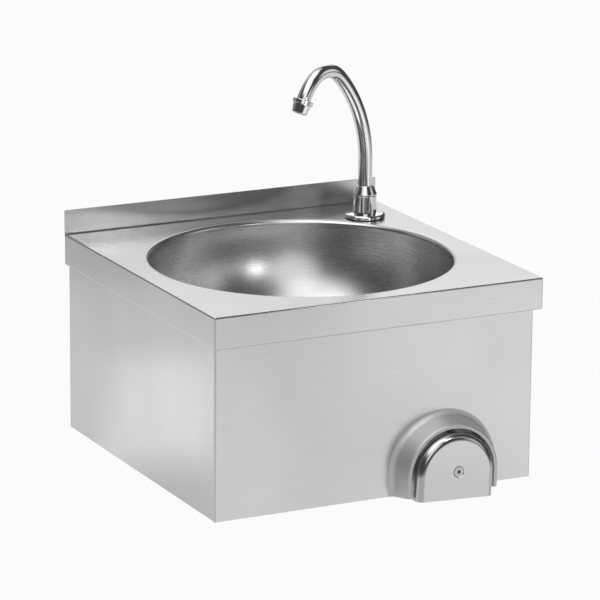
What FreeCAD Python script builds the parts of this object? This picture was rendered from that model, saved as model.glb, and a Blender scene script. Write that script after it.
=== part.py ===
import FreeCAD, Part
import Sketcher
import math
import os
import re

# Wall-hung stainless steel hand basin with a round bowl, a swivel swan-neck spout and a valve
# that is worked by pushing a D-shaped knee button in the front of the casing.
# X runs to the right, -Y to the front and +Z up. The origin lies on the wall plane, midway
# between the two wall-fixing holes.

doc = FreeCAD.newDocument("hand_basin")
sheet = doc.addObject("Spreadsheet::Sheet", "Sizes")

# ---------------------------------------------------------------- driving sizes, millimetres
sizes = {
    # worktop: one folded sheet with two side aprons, a front apron and a splashback
    "top_width": 400,
    "top_depth": 400,
    "top_sheet": 1.2,
    "apron_height": 36,
    "splash_height": 28,
    "bend_radius": 1.8,
    "corner_radius": 1.0,
    "splash_bend_radius": 1.6,
    # round hole with a rolled edge that the bowl is welded to
    "bowl_back": 205,
    "bowl_hole_radius": 175,
    "roll_radius": 5,
    "neck_length": 3,
    # pressed bowl
    "bowl_sheet": 1.0,
    "bowl_straight": 4,
    "recess_gap": 1,
    "recess_depth": 4,
    "drain_hole_radius": 21.5,
    # casing under the worktop
    "casing_height": 230.7,
    "casing_sheet": 1.2,
    "casing_front_inset": 10.9,
    "casing_side_inset": 5.6,
    "casing_rear_inset": 6,
    "casing_corner": 3,
    "casing_corner_radius": 2,
    "casing_return": 15,
    "return_gap": 2,
    # rails across the back, which stand against the wall
    "rail_sheet": 1.5,
    "rail_height": 76,
    "rail_depth": 20,
    "lower_rail_height": 12,
    "fixing_drop": 55,
    "fixing_spacing": 300,
    "fixing_hole_radius": 4.5,
    # push rod line, measured from the worktop's right edge and from the casing's lower edge
    "rod_side": 116,
    "rod_height": 30,
    # pressed housing round the knee button
    "arch_shift_x": -1.5,
    "arch_shift_z": -2.5,
    "housing_depth": 27,
    "housing_draft": 12,
    "housing_root_fillet": 5,
    "housing_edge_radius": 6,
    "housing_face": 7.761,
    "housing_lip_radius": 2,
    "housing_lip": 6,
    "housing_sheet": 1.2,
    "housing_bottom_rise": 3.6,
    "weld_gap": 0.1,
    # knee button, a deep D-shaped cap on the end of the push rod
    "button_radius": 46,
    "button_gap": 4.5,
    "button_reach": 36.5,
    "button_depth": 24,
    "button_edge_radius": 8,
    "button_wall": 1.6,
    "button_turn": 2.5,
    "boss_radius": 10,
    "boss_length": 11,
    "screw_radius": 3,
    "screw_head_radius": 6,
    "screw_head_height": 3,
    "screw_length": 18,
    "screw_hole_spare": 2,
    "screw_socket_flats": 4,
    "screw_socket_depth": 2.2,
    "rod_radius": 5,
    "spring_seat_radius": 11,
    "spring_seat_thickness": 1.5,
    "spring_radius": 8.2,
    "spring_wire": 1.5,
    "spring_turns": 7,
    # bracket behind the button that carries the valve
    "bracket_sheet": 2,
    "bracket_width": 152,
    "bracket_flange": 12,
    "bracket_reach": 25,
    "bracket_height": 60,
    "bracket_lift": 4.7,
    # valve
    "bonnet_radius": 11,
    "bonnet_front": 8,
    "bonnet_length": 32,
    "stem_seal_place": 24,
    "stem_seal_wire": 1.9,
    "seal_side_gap": 0.1,
    "lock_nut_flats": 30,
    "lock_nut_thickness": 6,
    "barrel_radius": 17,
    "barrel_length": 50,
    "bore_radius": 9,
    "bore_length": 18,
    "chamber_radius": 12,
    "chamber_length": 14,
    "plunger_length": 6,
    "plunger_gap": 10,
    "plunger_seal_wire": 1.8,
    "manifold_width": 76,
    "manifold_depth": 28,
    "manifold_height": 32,
    "manifold_place": 32,
    "inlet_spacing": 48,
    "inlet_socket_radius": 9,
    "inlet_socket_depth": 16,
    "passage_radius": 4.5,
    "inlet_thread_radius": 10.48,
    "inlet_thread_length": 14,
    "inlet_bore_radius": 6.5,
    "inlet_flats": 24,
    "inlet_collar": 5,
    "inlet_spigot_length": 12,
    "thread_chamfer": 1,
    "check_valve_length": 12,
    "check_valve_bore": 2.5,
    "filter_thickness": 1.5,
    "filter_bore": 1.2,
    "outlet_place": 16,
    "outlet_boss_radius": 10,
    "outlet_boss_height": 24,
    "outlet_socket_depth": 12,
    # elbow and braided hose up to the tap
    "elbow_radius": 6,
    "elbow_bore": 4,
    "elbow_bend": 9,
    "elbow_rise": 4.7,
    "elbow_run": 12,
    "hose_radius": 5,
    "hose_bore": 3.5,
    "hose_bend": 60,
    "hose_turn_back": 200,
    "hose_nut_flats": 17,
    "hose_nut_length": 12,
    "hose_nut_grip": 6,
    "ferrule_radius": 7,
    "ferrule_length": 16,
    "crimp_depth": 0.5,
    "crimp_width": 2.4,
    "crimp_first": 4,
    "crimp_second": 9.6,
    "upper_nut_flats": 24,
    # tap, which stands beside the bowl: its distance from the hole, and the direction from the bowl
    "tap_margin": 26.95,
    "tap_angle": 41.95,
    "tap_hole_radius": 11.5,
    "gasket_radius": 22,
    "gasket_thickness": 1,
    "flange_radius": 23.7,
    "flange_height": 5.2,
    "flange_edge_radius": 2.8,
    "flange_fall": 1,
    "tap_body_radius": 13.5,
    "tap_body_top": 26.5,
    "tap_waterway": 6,
    "shank_radius": 10,
    "shank_socket": 8,
    "shank_drop": 45,
    "foot_floor": 10,
    "foot_bore_radius": 10.6,
    "foot_top": 19.8,
    "nut_thread_radius": 12,
    "nut_belt_radius": 13.8,
    "nut_belt_top": 28.4,
    "nut_belt_chamfer": 0.7,
    "nut_top_radius": 9.3,
    "nut_top": 38,
    "tap_washer_radius": 19,
    "rubber_washer_thickness": 3,
    "steel_washer_thickness": 1.5,
    "back_nut_flats": 30,
    "back_nut_thickness": 8,
    # swan-neck spout: a straight riser and three tangent bends in one plane
    "spout_radius": 8.2,
    "spout_bore": 6.8,
    "spout_straight": 67.6,
    "spout_bend_one": 151.3,
    "spout_turn_one": 43.8,
    "spout_bend_two": 28.1,
    "spout_turn_two": 87.3,
    "spout_bend_three": 62.2,
    "spout_turn_three": 25.3,
    "spout_tail": 6,
    "spout_swing": 15,
    "seal_wire": 1.36,
    "seal_groove_width": 1.7,
    "lower_seal_height": 12.7,
    "upper_seal_height": 16.7,
    "spout_foot_gap": 0.2,
    "spout_nut_gap": 0.2,
    "ferrule_top_gap": 0.1,
    # aerator
    "aerator_ring_radius": 12,
    "aerator_ring_length": 5,
    "aerator_length": 16,
    "aerator_top_radius": 10.2,
    "aerator_end_radius": 8.8,
    "aerator_lip_radius": 6.9,
    "aerator_lip": 1.4,
    "aerator_seal_thickness": 1.5,
    "aerator_top_chamfer": 0.8,
    "aerator_edge_chamfer": 0.6,
    "insert_recess": 2.5,
    "insert_rim": 1.2,
    "jet_hole_radius": 0.7,
    "jet_circle_radius": 4.6,
    "jet_count": 12,
    # waste
    "grid_radius": 36,
    "grid_thickness": 2,
    "grid_hole_radius": 4,
    "grid_circle_radius": 13.5,
    "grid_hole_count": 8,
    "grid_spigot_length": 8,
    "grid_spigot_wall": 1.5,
    "grid_edge": 1,
    "waste_seal_radius": 31,
    "upper_seal_thickness": 1,
    "lower_seal_thickness": 3,
    "waste_flange_thickness": 3,
    "waste_flange_lip": 3,
    "waste_neck_start": 5,
    "waste_neck_end": 14,
    "waste_mouth_gap": 0.5,
    "waste_thread_radius": 20.95,
    "waste_bore_radius": 18,
    "waste_end_drop": 226,
    "waste_bar_drop": 168,
    "waste_bar_height": 8,
    "waste_bar_width": 9,
    "waste_bar_root": 0.8,
    "waste_screw_length": 32,
    "screw_head_land": 0.2,
    "screw_slot_width": 1.2,
    "screw_slot_depth": 0.8,
    # hexagon nuts
    "nut_chamfer_inset": 0.2,
    "nut_chamfer_height": 0.9,
    # clearances
    "running_gap": 0.06,
    "thread_gap": 0.05,
    "washer_gap": 0.3,
    "soft_gap": 0.03,
    "bore_gap": 0.1,
    # how far a cut reaches past what it cuts
    "cut_over": 1,
}

for row, (alias, number) in enumerate(sizes.items(), 1):
    sheet.set("A%d" % row, alias)
    sheet.set("B%d" % row, str(number))
    sheet.setAlias("B%d" % row, alias)
doc.recompute()

# places that several pieces share, worked out from the sizes
top = "fixing_drop"
casing_bottom = "(fixing_drop - casing_height)"
casing_front = "(casing_front_inset - top_depth)"
casing_half = "(top_width / 2 - casing_side_inset)"
rod_x = "(top_width / 2 - rod_side)"
rod_z = "(fixing_drop - casing_height + rod_height)"
tap_x = "((bowl_hole_radius + tap_margin) * cos(tap_angle))"
tap_y = "((bowl_hole_radius + tap_margin) * sin(tap_angle) - bowl_back)"
arch_x = "(top_width / 2 - rod_side + arch_shift_x)"
arch_z = "(fixing_drop - casing_height + rod_height + arch_shift_z)"
arch_leg = "(rod_height + arch_shift_z)"
housing_opening = "(button_radius + button_gap)"
housing_rim = "(button_radius + button_gap + housing_face)"
housing_root = "(button_radius + button_gap + housing_face + housing_depth * tan(housing_draft))"
root_tangent = "(housing_root_fillet * tan(45 - housing_draft / 2))"
edge_tangent = "(housing_edge_radius * tan(45 - housing_draft / 2))"
bracket_back = "(casing_sheet + bracket_reach + bracket_sheet)"
bonnet_end = "(bonnet_front + bonnet_length)"
plunger_front = "(bonnet_front + bonnet_length + plunger_gap)"
manifold_front = "(casing_sheet + bracket_reach + bracket_sheet + manifold_place)"
manifold_back = "(casing_sheet + bracket_reach + bracket_sheet + manifold_place + manifold_depth)"
outlet_line = "(casing_sheet + bracket_reach + bracket_sheet + outlet_place)"
hose_level = "(outlet_boss_height + elbow_rise + elbow_bend)"
elbow_end = "(%s + elbow_bend + elbow_run)" % outlet_line
rim_neck_radius = "(bowl_hole_radius - roll_radius)"
neck_end = "(-roll_radius - neck_length)"
curve_start = "(-roll_radius - neck_length - bowl_straight)"
recess_radius = "(grid_radius + recess_gap)"
curve_radius = "(bowl_hole_radius - roll_radius - grid_radius - recess_gap)"
bowl_floor = "(%s - %s)" % (curve_start, curve_radius)
recess_floor = "(%s - recess_depth)" % bowl_floor
recess_under = "(%s - bowl_sheet)" % recess_floor
grid_under = "(%s + upper_seal_thickness)" % recess_floor
grid_top = "(%s + grid_thickness)" % grid_under
nut_seat = "(-top_sheet - rubber_washer_thickness - steel_washer_thickness)"


def bound(text):
    """The text with the spreadsheet's name before each size in it."""
    return re.sub(r"[a-z_]+", lambda word: "Sizes." + word[0] if word[0] in sizes else word[0], str(text))


def value(text):
    return float(sheet.evalExpression(bound(text)))


# ---------------------------------------------------------------- sketches and features
def new_body(name, x="0", y="0", z="0", turn=None, angle=None):
    body = doc.addObject("PartDesign::Body", name)
    body.Label = name
    if turn:
        start = 1 if angle else turn[1]
        body.Placement = FreeCAD.Placement(FreeCAD.Vector(), FreeCAD.Rotation(turn[0], start))
        if angle:
            body.setExpression("Placement.Rotation.Angle", bound(angle))
    for axis, place in zip("xyz", (x, y, z)):
        body.setExpression("Placement.Base." + axis, bound(place))
    return body


def new_sketch(body, plane, height="0", shift=("0", "0"), angle=None):
    """A sketch on one of the body's own planes: XY, XZ (seen from the front) or YZ."""
    sketch = body.newObject("Sketcher::SketchObject", "Sketch")
    support = next(part for part in body.Origin.OriginFeatures if part.Role == plane + "_Plane")
    sketch.AttachmentSupport = [(support, "")]
    sketch.MapMode = "FlatFace"
    if angle:
        turn = FreeCAD.Rotation(FreeCAD.Vector(0, 0, 1), 1)
        sketch.AttachmentOffset = FreeCAD.Placement(FreeCAD.Vector(), turn)
        sketch.setExpression("AttachmentOffset.Rotation.Angle", bound(angle))
    for axis, place in zip("xyz", (shift[0], shift[1], height)):
        sketch.setExpression("AttachmentOffset.Base." + axis, bound(place))
    return sketch


def hold(sketch, kind, places, text):
    index = sketch.addConstraint(Sketcher.Constraint(kind, *places, value(text)))
    sketch.setExpression("Constraints[%d]" % index, bound(text))


def hold_point(sketch, geometry, position, point):
    hold(sketch, "DistanceX", (-1, 1, geometry, position), point[0])
    hold(sketch, "DistanceY", (-1, 1, geometry, position), point[1])


def arc_between(start, end, radius, left):
    """The short arc from start to end that turns left or right."""
    chord = end - start
    rise = math.sqrt(max(radius * radius - chord.Length ** 2 / 4, 0))
    side = FreeCAD.Vector(-chord.y, chord.x, 0).normalize() * (rise if left else -rise)
    centre = (start + end) / 2 + side
    first, last = (start, end) if left else (end, start)
    angles = [math.atan2((point - centre).y, (point - centre).x) for point in (first, last)]
    circle = Part.Circle(centre, FreeCAD.Vector(0, 0, 1), radius)
    return Part.ArcOfCircle(circle, angles[0], angles[1])


def draw(sketch, corners, closed=True):
    """Edges through the corners. A corner (x, y, radius, left) ends an arc, (x, y) a straight line."""
    points = [FreeCAD.Vector(value(corner[0]), value(corner[1]), 0) for corner in corners]
    ends = []
    first = 0 if closed else 1
    for number in range(first, len(corners)):
        corner = corners[number]
        start, end = points[number - 1], points[number]
        if len(corner) == 2:
            edge = sketch.addGeometry(Part.LineSegment(start, end), False)
            ends.append((edge, 1, 2))
        else:
            arc = arc_between(start, end, value(corner[2]), corner[3])
            edge = sketch.addGeometry(arc, False)
            ends.append((edge, 1, 2) if corner[3] else (edge, 2, 1))
            hold(sketch, "Radius", (edge,), corner[2])
        hold_point(sketch, edge, ends[-1][2], corner)
    if closed:
        joints = zip(ends, ends[1:] + ends[:1])
    else:
        hold_point(sketch, ends[0][0], ends[0][1], corners[0])
        joints = zip(ends, ends[1:])
    for before, after in joints:
        sketch.addConstraint(Sketcher.Constraint("Coincident", before[0], before[2], after[0], after[1]))


def circle(sketch, x, y, radius):
    centre = FreeCAD.Vector(value(x), value(y), 0)
    edge = sketch.addGeometry(Part.Circle(centre, FreeCAD.Vector(0, 0, 1), value(radius)), False)
    hold_point(sketch, edge, 3, (x, y))
    hold(sketch, "Radius", (edge,), radius)


def rectangle(sketch, left, low, right, high):
    draw(sketch, [(left, low), (right, low), (right, high), (left, high)])


def hexagon(sketch, flats, x="0", y="0"):
    corner = "(%s) / sqrt(3)" % flats
    turns = [(x + " + %s * cos(%d)" % (corner, angle), y + " + %s * sin(%d)" % (corner, angle))
             for angle in range(0, 360, 60)]
    draw(sketch, turns)


def extrude(body, kind, sketch, length=None, back=False, middle=False):
    """A Pad or a Pocket of the sketch. A Pocket with no length goes through all."""
    feature = body.newObject("PartDesign::" + kind, kind)
    feature.Profile = sketch
    feature.Reversed = back
    feature.Midplane = middle
    if length:
        feature.setExpression("Length", bound(length))
    else:
        feature.Type = "ThroughAll"
    return feature


def spin(body, kind, sketch, axis="V_Axis", angle="360", back=False):
    """A Revolution or a Groove of the sketch about one of its own axes."""
    feature = body.newObject("PartDesign::" + kind, kind)
    feature.Profile = sketch
    feature.ReferenceAxis = (sketch, [axis])
    feature.Reversed = back
    feature.setExpression("Angle", bound(angle))
    return feature


def edges_in(feature, low, high):
    """Names of the feature's edges that lie inside a box."""
    doc.recompute()
    box = FreeCAD.BoundBox(*[value(text) for text in low], *[value(text) for text in high])
    box.enlarge(0.01)
    names = []
    for number, edge in enumerate(feature.Shape.Edges, 1):
        if box.isInside(edge.BoundBox):
            names.append("Edge%d" % number)
    return names


def dress(body, kind, feature, names, size):
    """A Fillet or a Chamfer on the named edges."""
    result = body.newObject("PartDesign::" + kind, kind)
    result.Base = (feature, names)
    result.setExpression("Radius" if kind == "Fillet" else "Size", bound(size))
    return result


def ring_pattern(body, feature, count, axis=None):
    """Copies of the feature round an axis, which is the body's own Z unless another is given."""
    pattern = body.newObject("PartDesign::PolarPattern", "PolarPattern")
    pattern.Originals = [feature]
    upward = next(part for part in body.Origin.OriginFeatures if part.Role == "Z_Axis")
    pattern.Axis = axis or (upward, [""])
    pattern.Angle = 360
    pattern.setExpression("Occurrences", bound(count))
    body.Tip = pattern
    return pattern


rearward = (FreeCAD.Vector(1, 0, 0), -90)
downward = (FreeCAD.Vector(1, 0, 0), 180)


def turned(name, outline, **place):
    """A piece turned on a lathe. The outline gives its radius and its height along its own axis."""
    body = new_body(name, **place)
    sketch = new_sketch(body, "XZ")
    draw(sketch, outline)
    spin(body, "Revolution", sketch)
    return body


def ring(name, inner, outer, low, high, **place):
    return turned(name, [(inner, low), (outer, low), (outer, high), (inner, high)], **place)


def hex_nut(name, flats, bore, low, length, **place):
    """A hexagon nut on its own axis, with a turned chamfer at both ends."""
    body = new_body(name, **place)
    sketch = new_sketch(body, "XY", low)
    hexagon(sketch, flats)
    circle(sketch, "0", "0", bore)
    extrude(body, "Pad", sketch, length)
    corner = "(%s) / sqrt(3) + cut_over" % flats
    for end, inward in (("(%s)" % low, "1"), ("(%s + %s)" % (low, length), "-1")):
        cut = new_sketch(body, "XZ")
        draw(cut, [("(%s) / 2 - nut_chamfer_inset" % flats, end), (corner, end),
                   (corner, end + " + %s * nut_chamfer_height" % inward)])
        spin(body, "Groove", cut)
    return body


def at_rod(along="0"):
    return {"x": rod_x, "y": casing_front + " + " + along, "z": rod_z}


def at_tap():
    return {"x": tap_x, "y": tap_y, "z": top}


def at_bowl():
    return {"x": "0", "y": "-bowl_back", "z": top}


# ---------------------------------------------------------------- worktop and bowl
def make_worktop():
    body = new_body("worktop")
    plate = new_sketch(body, "XY", top)
    rectangle(plate, "-top_width / 2", "-top_depth", "top_width / 2", "0")
    extrude(body, "Pad", plate, "top_sheet", back=True)
    splash = new_sketch(body, "XY", top + " - top_sheet")
    rectangle(splash, "-top_width / 2", "-top_sheet", "top_width / 2", "0")
    extrude(body, "Pad", splash, "splash_height + top_sheet")
    apron = new_sketch(body, "XY", top)
    half, inner = "top_width / 2", "top_width / 2 - top_sheet"
    draw(apron, [("-(%s)" % half, "0"), ("-(%s)" % half, "-top_depth"), (half, "-top_depth"), (half, "0"),
                 (inner, "0"), (inner, "top_sheet - top_depth"),
                 ("-(%s)" % inner, "top_sheet - top_depth"), ("-(%s)" % inner, "0")])
    extrude(body, "Pad", apron, "apron_height", back=True)
    # the aprons' lower edges are folded in until they meet the casing
    fold = new_sketch(body, "XY", top + " - apron_height")
    draw(fold, [("-(%s)" % inner, "0"), ("-(%s)" % inner, "top_sheet - top_depth"),
                (inner, "top_sheet - top_depth"), (inner, "0"),
                (casing_half, "0"), (casing_half, casing_front),
                ("-" + casing_half, casing_front), ("-" + casing_half, "0")])
    folded = extrude(body, "Pad", fold, "top_sheet")
    low, high = top + " - apron_height", top
    bends = []
    for corners in (("-(%s)" % half, "-top_depth", half, "-top_depth"),
                    ("-(%s)" % half, "-top_depth", "-(%s)" % half, "0"),
                    (half, "-top_depth", half, "0")):
        bends += edges_in(folded, (corners[0], corners[1], high), (corners[2], corners[3], high))
    bent = dress(body, "Fillet", folded, sorted(set(bends)), "bend_radius")
    corner_edges = []
    for side in ("-(%s)" % half, half):
        corner_edges += edges_in(bent, (side, "-top_depth", low), (side, "-top_depth", high))
    rounded = dress(body, "Fillet", bent, corner_edges, "corner_radius")
    base = new_sketch(body, "YZ")
    draw(base, [("-top_sheet", top), ("-top_sheet", top + " + splash_bend_radius"),
                ("-top_sheet - splash_bend_radius", top, "splash_bend_radius", False)])
    extrude(body, "Pad", base, "top_width - 2 * bend_radius", middle=True)
    hole = new_sketch(body, "XY", top)
    circle(hole, "0", "-bowl_back", "bowl_hole_radius")
    circle(hole, tap_x, tap_y, "tap_hole_radius")
    extrude(body, "Pocket", hole, "top_sheet + cut_over")
    roll = new_sketch(body, "YZ", "0", ("-bowl_back", top))
    neck, outer = rim_neck_radius, "(%s + top_sheet)" % rim_neck_radius
    draw(roll, [(neck, neck_end), (outer, neck_end), (outer, "-roll_radius"),
                ("bowl_hole_radius", "-top_sheet", "roll_radius - top_sheet", False),
                ("bowl_hole_radius", "0"),
                (neck, "-roll_radius", "roll_radius", True)])
    spin(body, "Revolution", roll)


def make_bowl():
    outer_radius = "(%s + bowl_sheet)" % rim_neck_radius
    shell_radius = "(%s + bowl_sheet)" % curve_radius
    recess_outer = "(%s + bowl_sheet)" % recess_radius
    meeting = "%s - sqrt(%s * %s - bowl_sheet * bowl_sheet)" % (curve_start, shell_radius, shell_radius)
    turned("bowl", [(rim_neck_radius, neck_end), (outer_radius, neck_end), (outer_radius, curve_start),
                    (recess_outer, meeting, shell_radius, False),
                    (recess_outer, recess_under), ("drain_hole_radius", recess_under),
                    ("drain_hole_radius", recess_floor), (recess_radius, recess_floor),
                    (recess_radius, bowl_floor),
                    (rim_neck_radius, curve_start, curve_radius, True)], **at_bowl())


# ---------------------------------------------------------------- casing
def arch(sketch, x, z, radius, leg):
    """A D standing on its flat side: a half circle on two straight legs."""
    left, right = "%s - (%s)" % (x, radius), "%s + (%s)" % (x, radius)
    foot = "%s - (%s)" % (z, leg)
    draw(sketch, [(left, foot), (right, foot), (right, z), (x, "%s + (%s)" % (z, radius), radius, True),
                  (left, z, radius, True)])


def make_front_panel():
    body = new_body("front_panel")
    section = new_sketch(body, "XY", casing_bottom)
    inner = "(%s - casing_sheet)" % casing_half
    face_back = "(%s + casing_sheet)" % casing_front
    corner_back = "(%s + casing_corner)" % casing_front
    draw(section, [("-" + casing_half, corner_back), ("-" + casing_half, casing_front),
                   (casing_half, casing_front), (casing_half, corner_back), (inner, corner_back),
                   (inner, face_back), ("-" + inner, face_back), ("-" + inner, corner_back)])
    wall = extrude(body, "Pad", section, "casing_height - top_sheet")
    corners = []
    for side in ("-" + casing_half, casing_half):
        corners += edges_in(wall, (side, casing_front, casing_bottom), (side, casing_front, top))
    dress(body, "Fillet", wall, corners, "casing_corner_radius")
    opening = new_sketch(body, "XZ", "-" + casing_front)
    hole_radius = "(%s + %s + weld_gap)" % (housing_root, root_tangent)
    arch(opening, arch_x, arch_z, hole_radius, arch_leg + " + cut_over")
    extrude(body, "Pocket", opening, "casing_sheet * 2", middle=True)
    stiffener = new_sketch(body, "XY", casing_bottom)
    flange_back = "(%s + casing_return)" % face_back
    clear = "(%s + return_gap)" % hole_radius
    rectangle(stiffener, "-" + inner, face_back, "%s - %s" % (arch_x, clear), flange_back)
    rectangle(stiffener, "%s + %s" % (arch_x, clear), face_back, inner, flange_back)
    extrude(body, "Pad", stiffener, "casing_sheet")


def make_side_panel(name, side):
    body = new_body(name)
    front = "(%s + casing_corner)" % casing_front
    outer, inner = side + " * " + casing_half, "%s * (%s - casing_sheet)" % (side, casing_half)
    wall = new_sketch(body, "XY", casing_bottom)
    low, high = (outer, inner) if side == "-1" else (inner, outer)
    rectangle(wall, low, front, high, "-casing_rear_inset")
    extrude(body, "Pad", wall, "casing_height - top_sheet")
    fold = new_sketch(body, "XY", casing_bottom)
    edge = "%s * (%s - casing_sheet - casing_return)" % (side, casing_half)
    low, high = (inner, edge) if side == "-1" else (edge, inner)
    fold_front = "%s + casing_sheet + casing_return + return_gap" % casing_front
    rectangle(fold, low, fold_front, high, "-rail_depth - return_gap")
    extrude(body, "Pad", fold, "casing_sheet")


def make_rails():
    span = "2 * (%s - casing_sheet)" % casing_half
    rail_top = "(fixing_drop - top_sheet)"
    rail_low = "(fixing_drop - top_sheet - rail_height)"
    body = new_body("rear_rail")
    channel = new_sketch(body, "YZ")
    draw(channel, [("0", rail_low), ("0", rail_top), ("-rail_depth", rail_top),
                   ("-rail_depth", rail_top + " - rail_sheet"), ("-rail_sheet", rail_top + " - rail_sheet"),
                   ("-rail_sheet", rail_low + " + rail_sheet"), ("-rail_depth", rail_low + " + rail_sheet"),
                   ("-rail_depth", rail_low)])
    extrude(body, "Pad", channel, span, middle=True)
    holes = new_sketch(body, "XZ")
    circle(holes, "-fixing_spacing / 2", "0", "fixing_hole_radius")
    circle(holes, "fixing_spacing / 2", "0", "fixing_hole_radius")
    extrude(body, "Pocket", holes, "4 * rail_sheet", middle=True)
    body = new_body("lower_rear_rail")
    angle = new_sketch(body, "YZ")
    foot = casing_bottom
    lower_top = foot + " + lower_rail_height"
    draw(angle, [("0", foot), ("0", lower_top), ("-rail_sheet", lower_top),
                 ("-rail_sheet", foot + " + rail_sheet"), ("-rail_depth", foot + " + rail_sheet"),
                 ("-rail_depth", foot)])
    extrude(body, "Pad", angle, span, middle=True)


def make_knee_housing():
    """A pressed boss: its wall's section is turned over the arch and run straight down both legs."""
    body = new_body("knee_housing", arch_x, casing_front, arch_z)
    wall = new_sketch(body, "XY")
    slope_x, slope_y = "sin(housing_draft)", "cos(housing_draft)"
    root_x = "(%s - %s * %s)" % (housing_root, root_tangent, slope_x)
    root_y = "(-%s * %s)" % (root_tangent, slope_y)
    edge_x = "(%s + %s * %s)" % (housing_rim, edge_tangent, slope_x)
    edge_y = "(-housing_depth + %s * %s)" % (edge_tangent, slope_y)
    foot_x = "%s + %s" % (housing_root, root_tangent)
    face_x = "%s - %s" % (housing_rim, edge_tangent)
    lip_x = housing_opening + " + housing_lip_radius"
    inner_x = housing_opening + " + housing_sheet"
    wall_x, wall_y = "housing_sheet * %s" % slope_y, "housing_sheet * %s" % slope_x
    lip_y = "(-housing_depth + housing_lip_radius)"
    draw(wall, [
        (foot_x, "0"),
        (root_x, root_y, "housing_root_fillet", True),
        (edge_x, edge_y),
        (face_x, "-housing_depth", "housing_edge_radius", False),
        (lip_x, "-housing_depth"),
        (housing_opening, lip_y, "housing_lip_radius", False),
        (housing_opening, "-housing_depth + housing_lip"),
        (inner_x, "-housing_depth + housing_lip"),
        (inner_x, lip_y),
        (lip_x, "-housing_depth + housing_sheet", "housing_lip_radius - housing_sheet", True),
        (face_x, "-housing_depth + housing_sheet"),
        (edge_x + " - " + wall_x, edge_y + " + " + wall_y, "housing_edge_radius - housing_sheet", True),
        (root_x + " - " + wall_x, root_y + " + " + wall_y),
        (foot_x, "housing_sheet", "housing_root_fillet + housing_sheet", False)])
    spin(body, "Revolution", wall, angle="180", back=True)
    leg = extrude(body, "Pad", wall, arch_leg, back=True)
    other_leg = body.newObject("PartDesign::Mirrored", "Mirrored")
    other_leg.Originals = [leg]
    other_leg.MirrorPlane = (wall, ["V_Axis"])
    body.Tip = other_leg
    trim = new_sketch(body, "YZ")
    foot = "-" + arch_leg
    front = "-housing_depth - cut_over"
    draw(trim, [("0", foot), (front, foot + " + housing_bottom_rise * (1 + cut_over / housing_depth)"),
                (front, foot + " - cut_over"), ("0", foot + " - cut_over")])
    extrude(body, "Pocket", trim, "4 * " + housing_root, middle=True)


def make_valve_bracket():
    """A hat-shaped bridge welded behind the panel, across the opening for the button."""
    body = new_body("valve_bracket", arch_x, casing_front, casing_bottom + " + bracket_lift")
    front, back = "casing_sheet", bracket_back
    half = "bracket_width / 2"
    wide = "(bracket_width / 2 + bracket_flange)"
    narrow = "(bracket_width / 2 - bracket_sheet)"
    section = new_sketch(body, "XY")
    draw(section, [("-" + wide, front), ("-" + narrow, front), ("-" + narrow, back + " - bracket_sheet"),
                   (narrow, back + " - bracket_sheet"), (narrow, front), (wide, front),
                   (wide, front + " + bracket_sheet"), (half, front + " + bracket_sheet"), (half, back),
                   ("-" + half, back), ("-" + half, front + " + bracket_sheet"),
                   ("-" + wide, front + " + bracket_sheet")])
    extrude(body, "Pad", section, "bracket_height")
    hole = new_sketch(body, "XZ", "-" + back)
    circle(hole, "-arch_shift_x", "rod_height - bracket_lift", "bonnet_radius + washer_gap")
    extrude(body, "Pocket", hole, "bracket_sheet * 3", middle=True)


# ---------------------------------------------------------------- knee button and its rod
def make_knee_button():
    """A cap cut from a D-shaped block with a rounded front edge, hollow behind, with a boss."""
    tilt = (FreeCAD.Vector(0, 1, 0), 1)
    body = new_body("knee_button", rod_x, casing_front + " - button_reach", rod_z, tilt, "button_turn")
    outline = new_sketch(body, "XZ")
    arch(outline, "arch_shift_x", "arch_shift_z", "button_radius", arch_leg)
    block = extrude(body, "Pad", outline, "button_depth", back=True)
    foot = "arch_shift_z - " + arch_leg
    left, right = "arch_shift_x - button_radius", "arch_shift_x + button_radius"
    crown = "arch_shift_z + button_radius"
    sides = []
    for side in (left, right):
        sides += edges_in(block, (side, "0", foot), (side, "0", "arch_shift_z"))
    curve = edges_in(block, (left, "0", "arch_shift_z"), (right, "0", crown))
    rounded = dress(body, "Fillet", block, sorted(set(sides + curve)), "button_edge_radius")
    doc.recompute()
    shell = body.newObject("PartDesign::Thickness", "Thickness")
    depths = [face.CenterOfMass.y for face in rounded.Shape.Faces]
    shell.Base = (rounded, ["Face%d" % (depths.index(max(depths)) + 1)])
    shell.Reversed = True
    shell.setExpression("Value", bound("button_wall"))
    boss = new_sketch(body, "XZ", "-button_wall / 2")
    circle(boss, "0", "0", "boss_radius")
    extrude(body, "Pad", boss, "boss_length + button_wall / 2", back=True)
    rod_hole = new_sketch(body, "XZ", "-button_wall - boss_length")
    circle(rod_hole, "0", "0", "rod_radius + thread_gap")
    extrude(body, "Pocket", rod_hole, "boss_length - screw_head_height", back=True)
    countersink = new_sketch(body, "YZ")
    draw(countersink, [("0", "0"), ("0", "screw_head_radius + bore_gap"),
                       ("screw_head_height", "screw_radius + bore_gap"),
                       ("button_wall + boss_length", "screw_radius + bore_gap"),
                       ("button_wall + boss_length", "0")])
    spin(body, "Groove", countersink, "H_Axis")


def make_button_screw():
    body = turned("button_screw",
                  [("0", "0"), ("screw_head_radius", "0"), ("screw_radius", "screw_head_height"),
                   ("screw_radius", "screw_length"), ("0", "screw_length")],
                  turn=rearward, **at_rod("(-button_reach)"))
    socket = new_sketch(body, "XY")
    hexagon(socket, "screw_socket_flats")
    extrude(body, "Pocket", socket, "screw_socket_depth", back=True)


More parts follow.
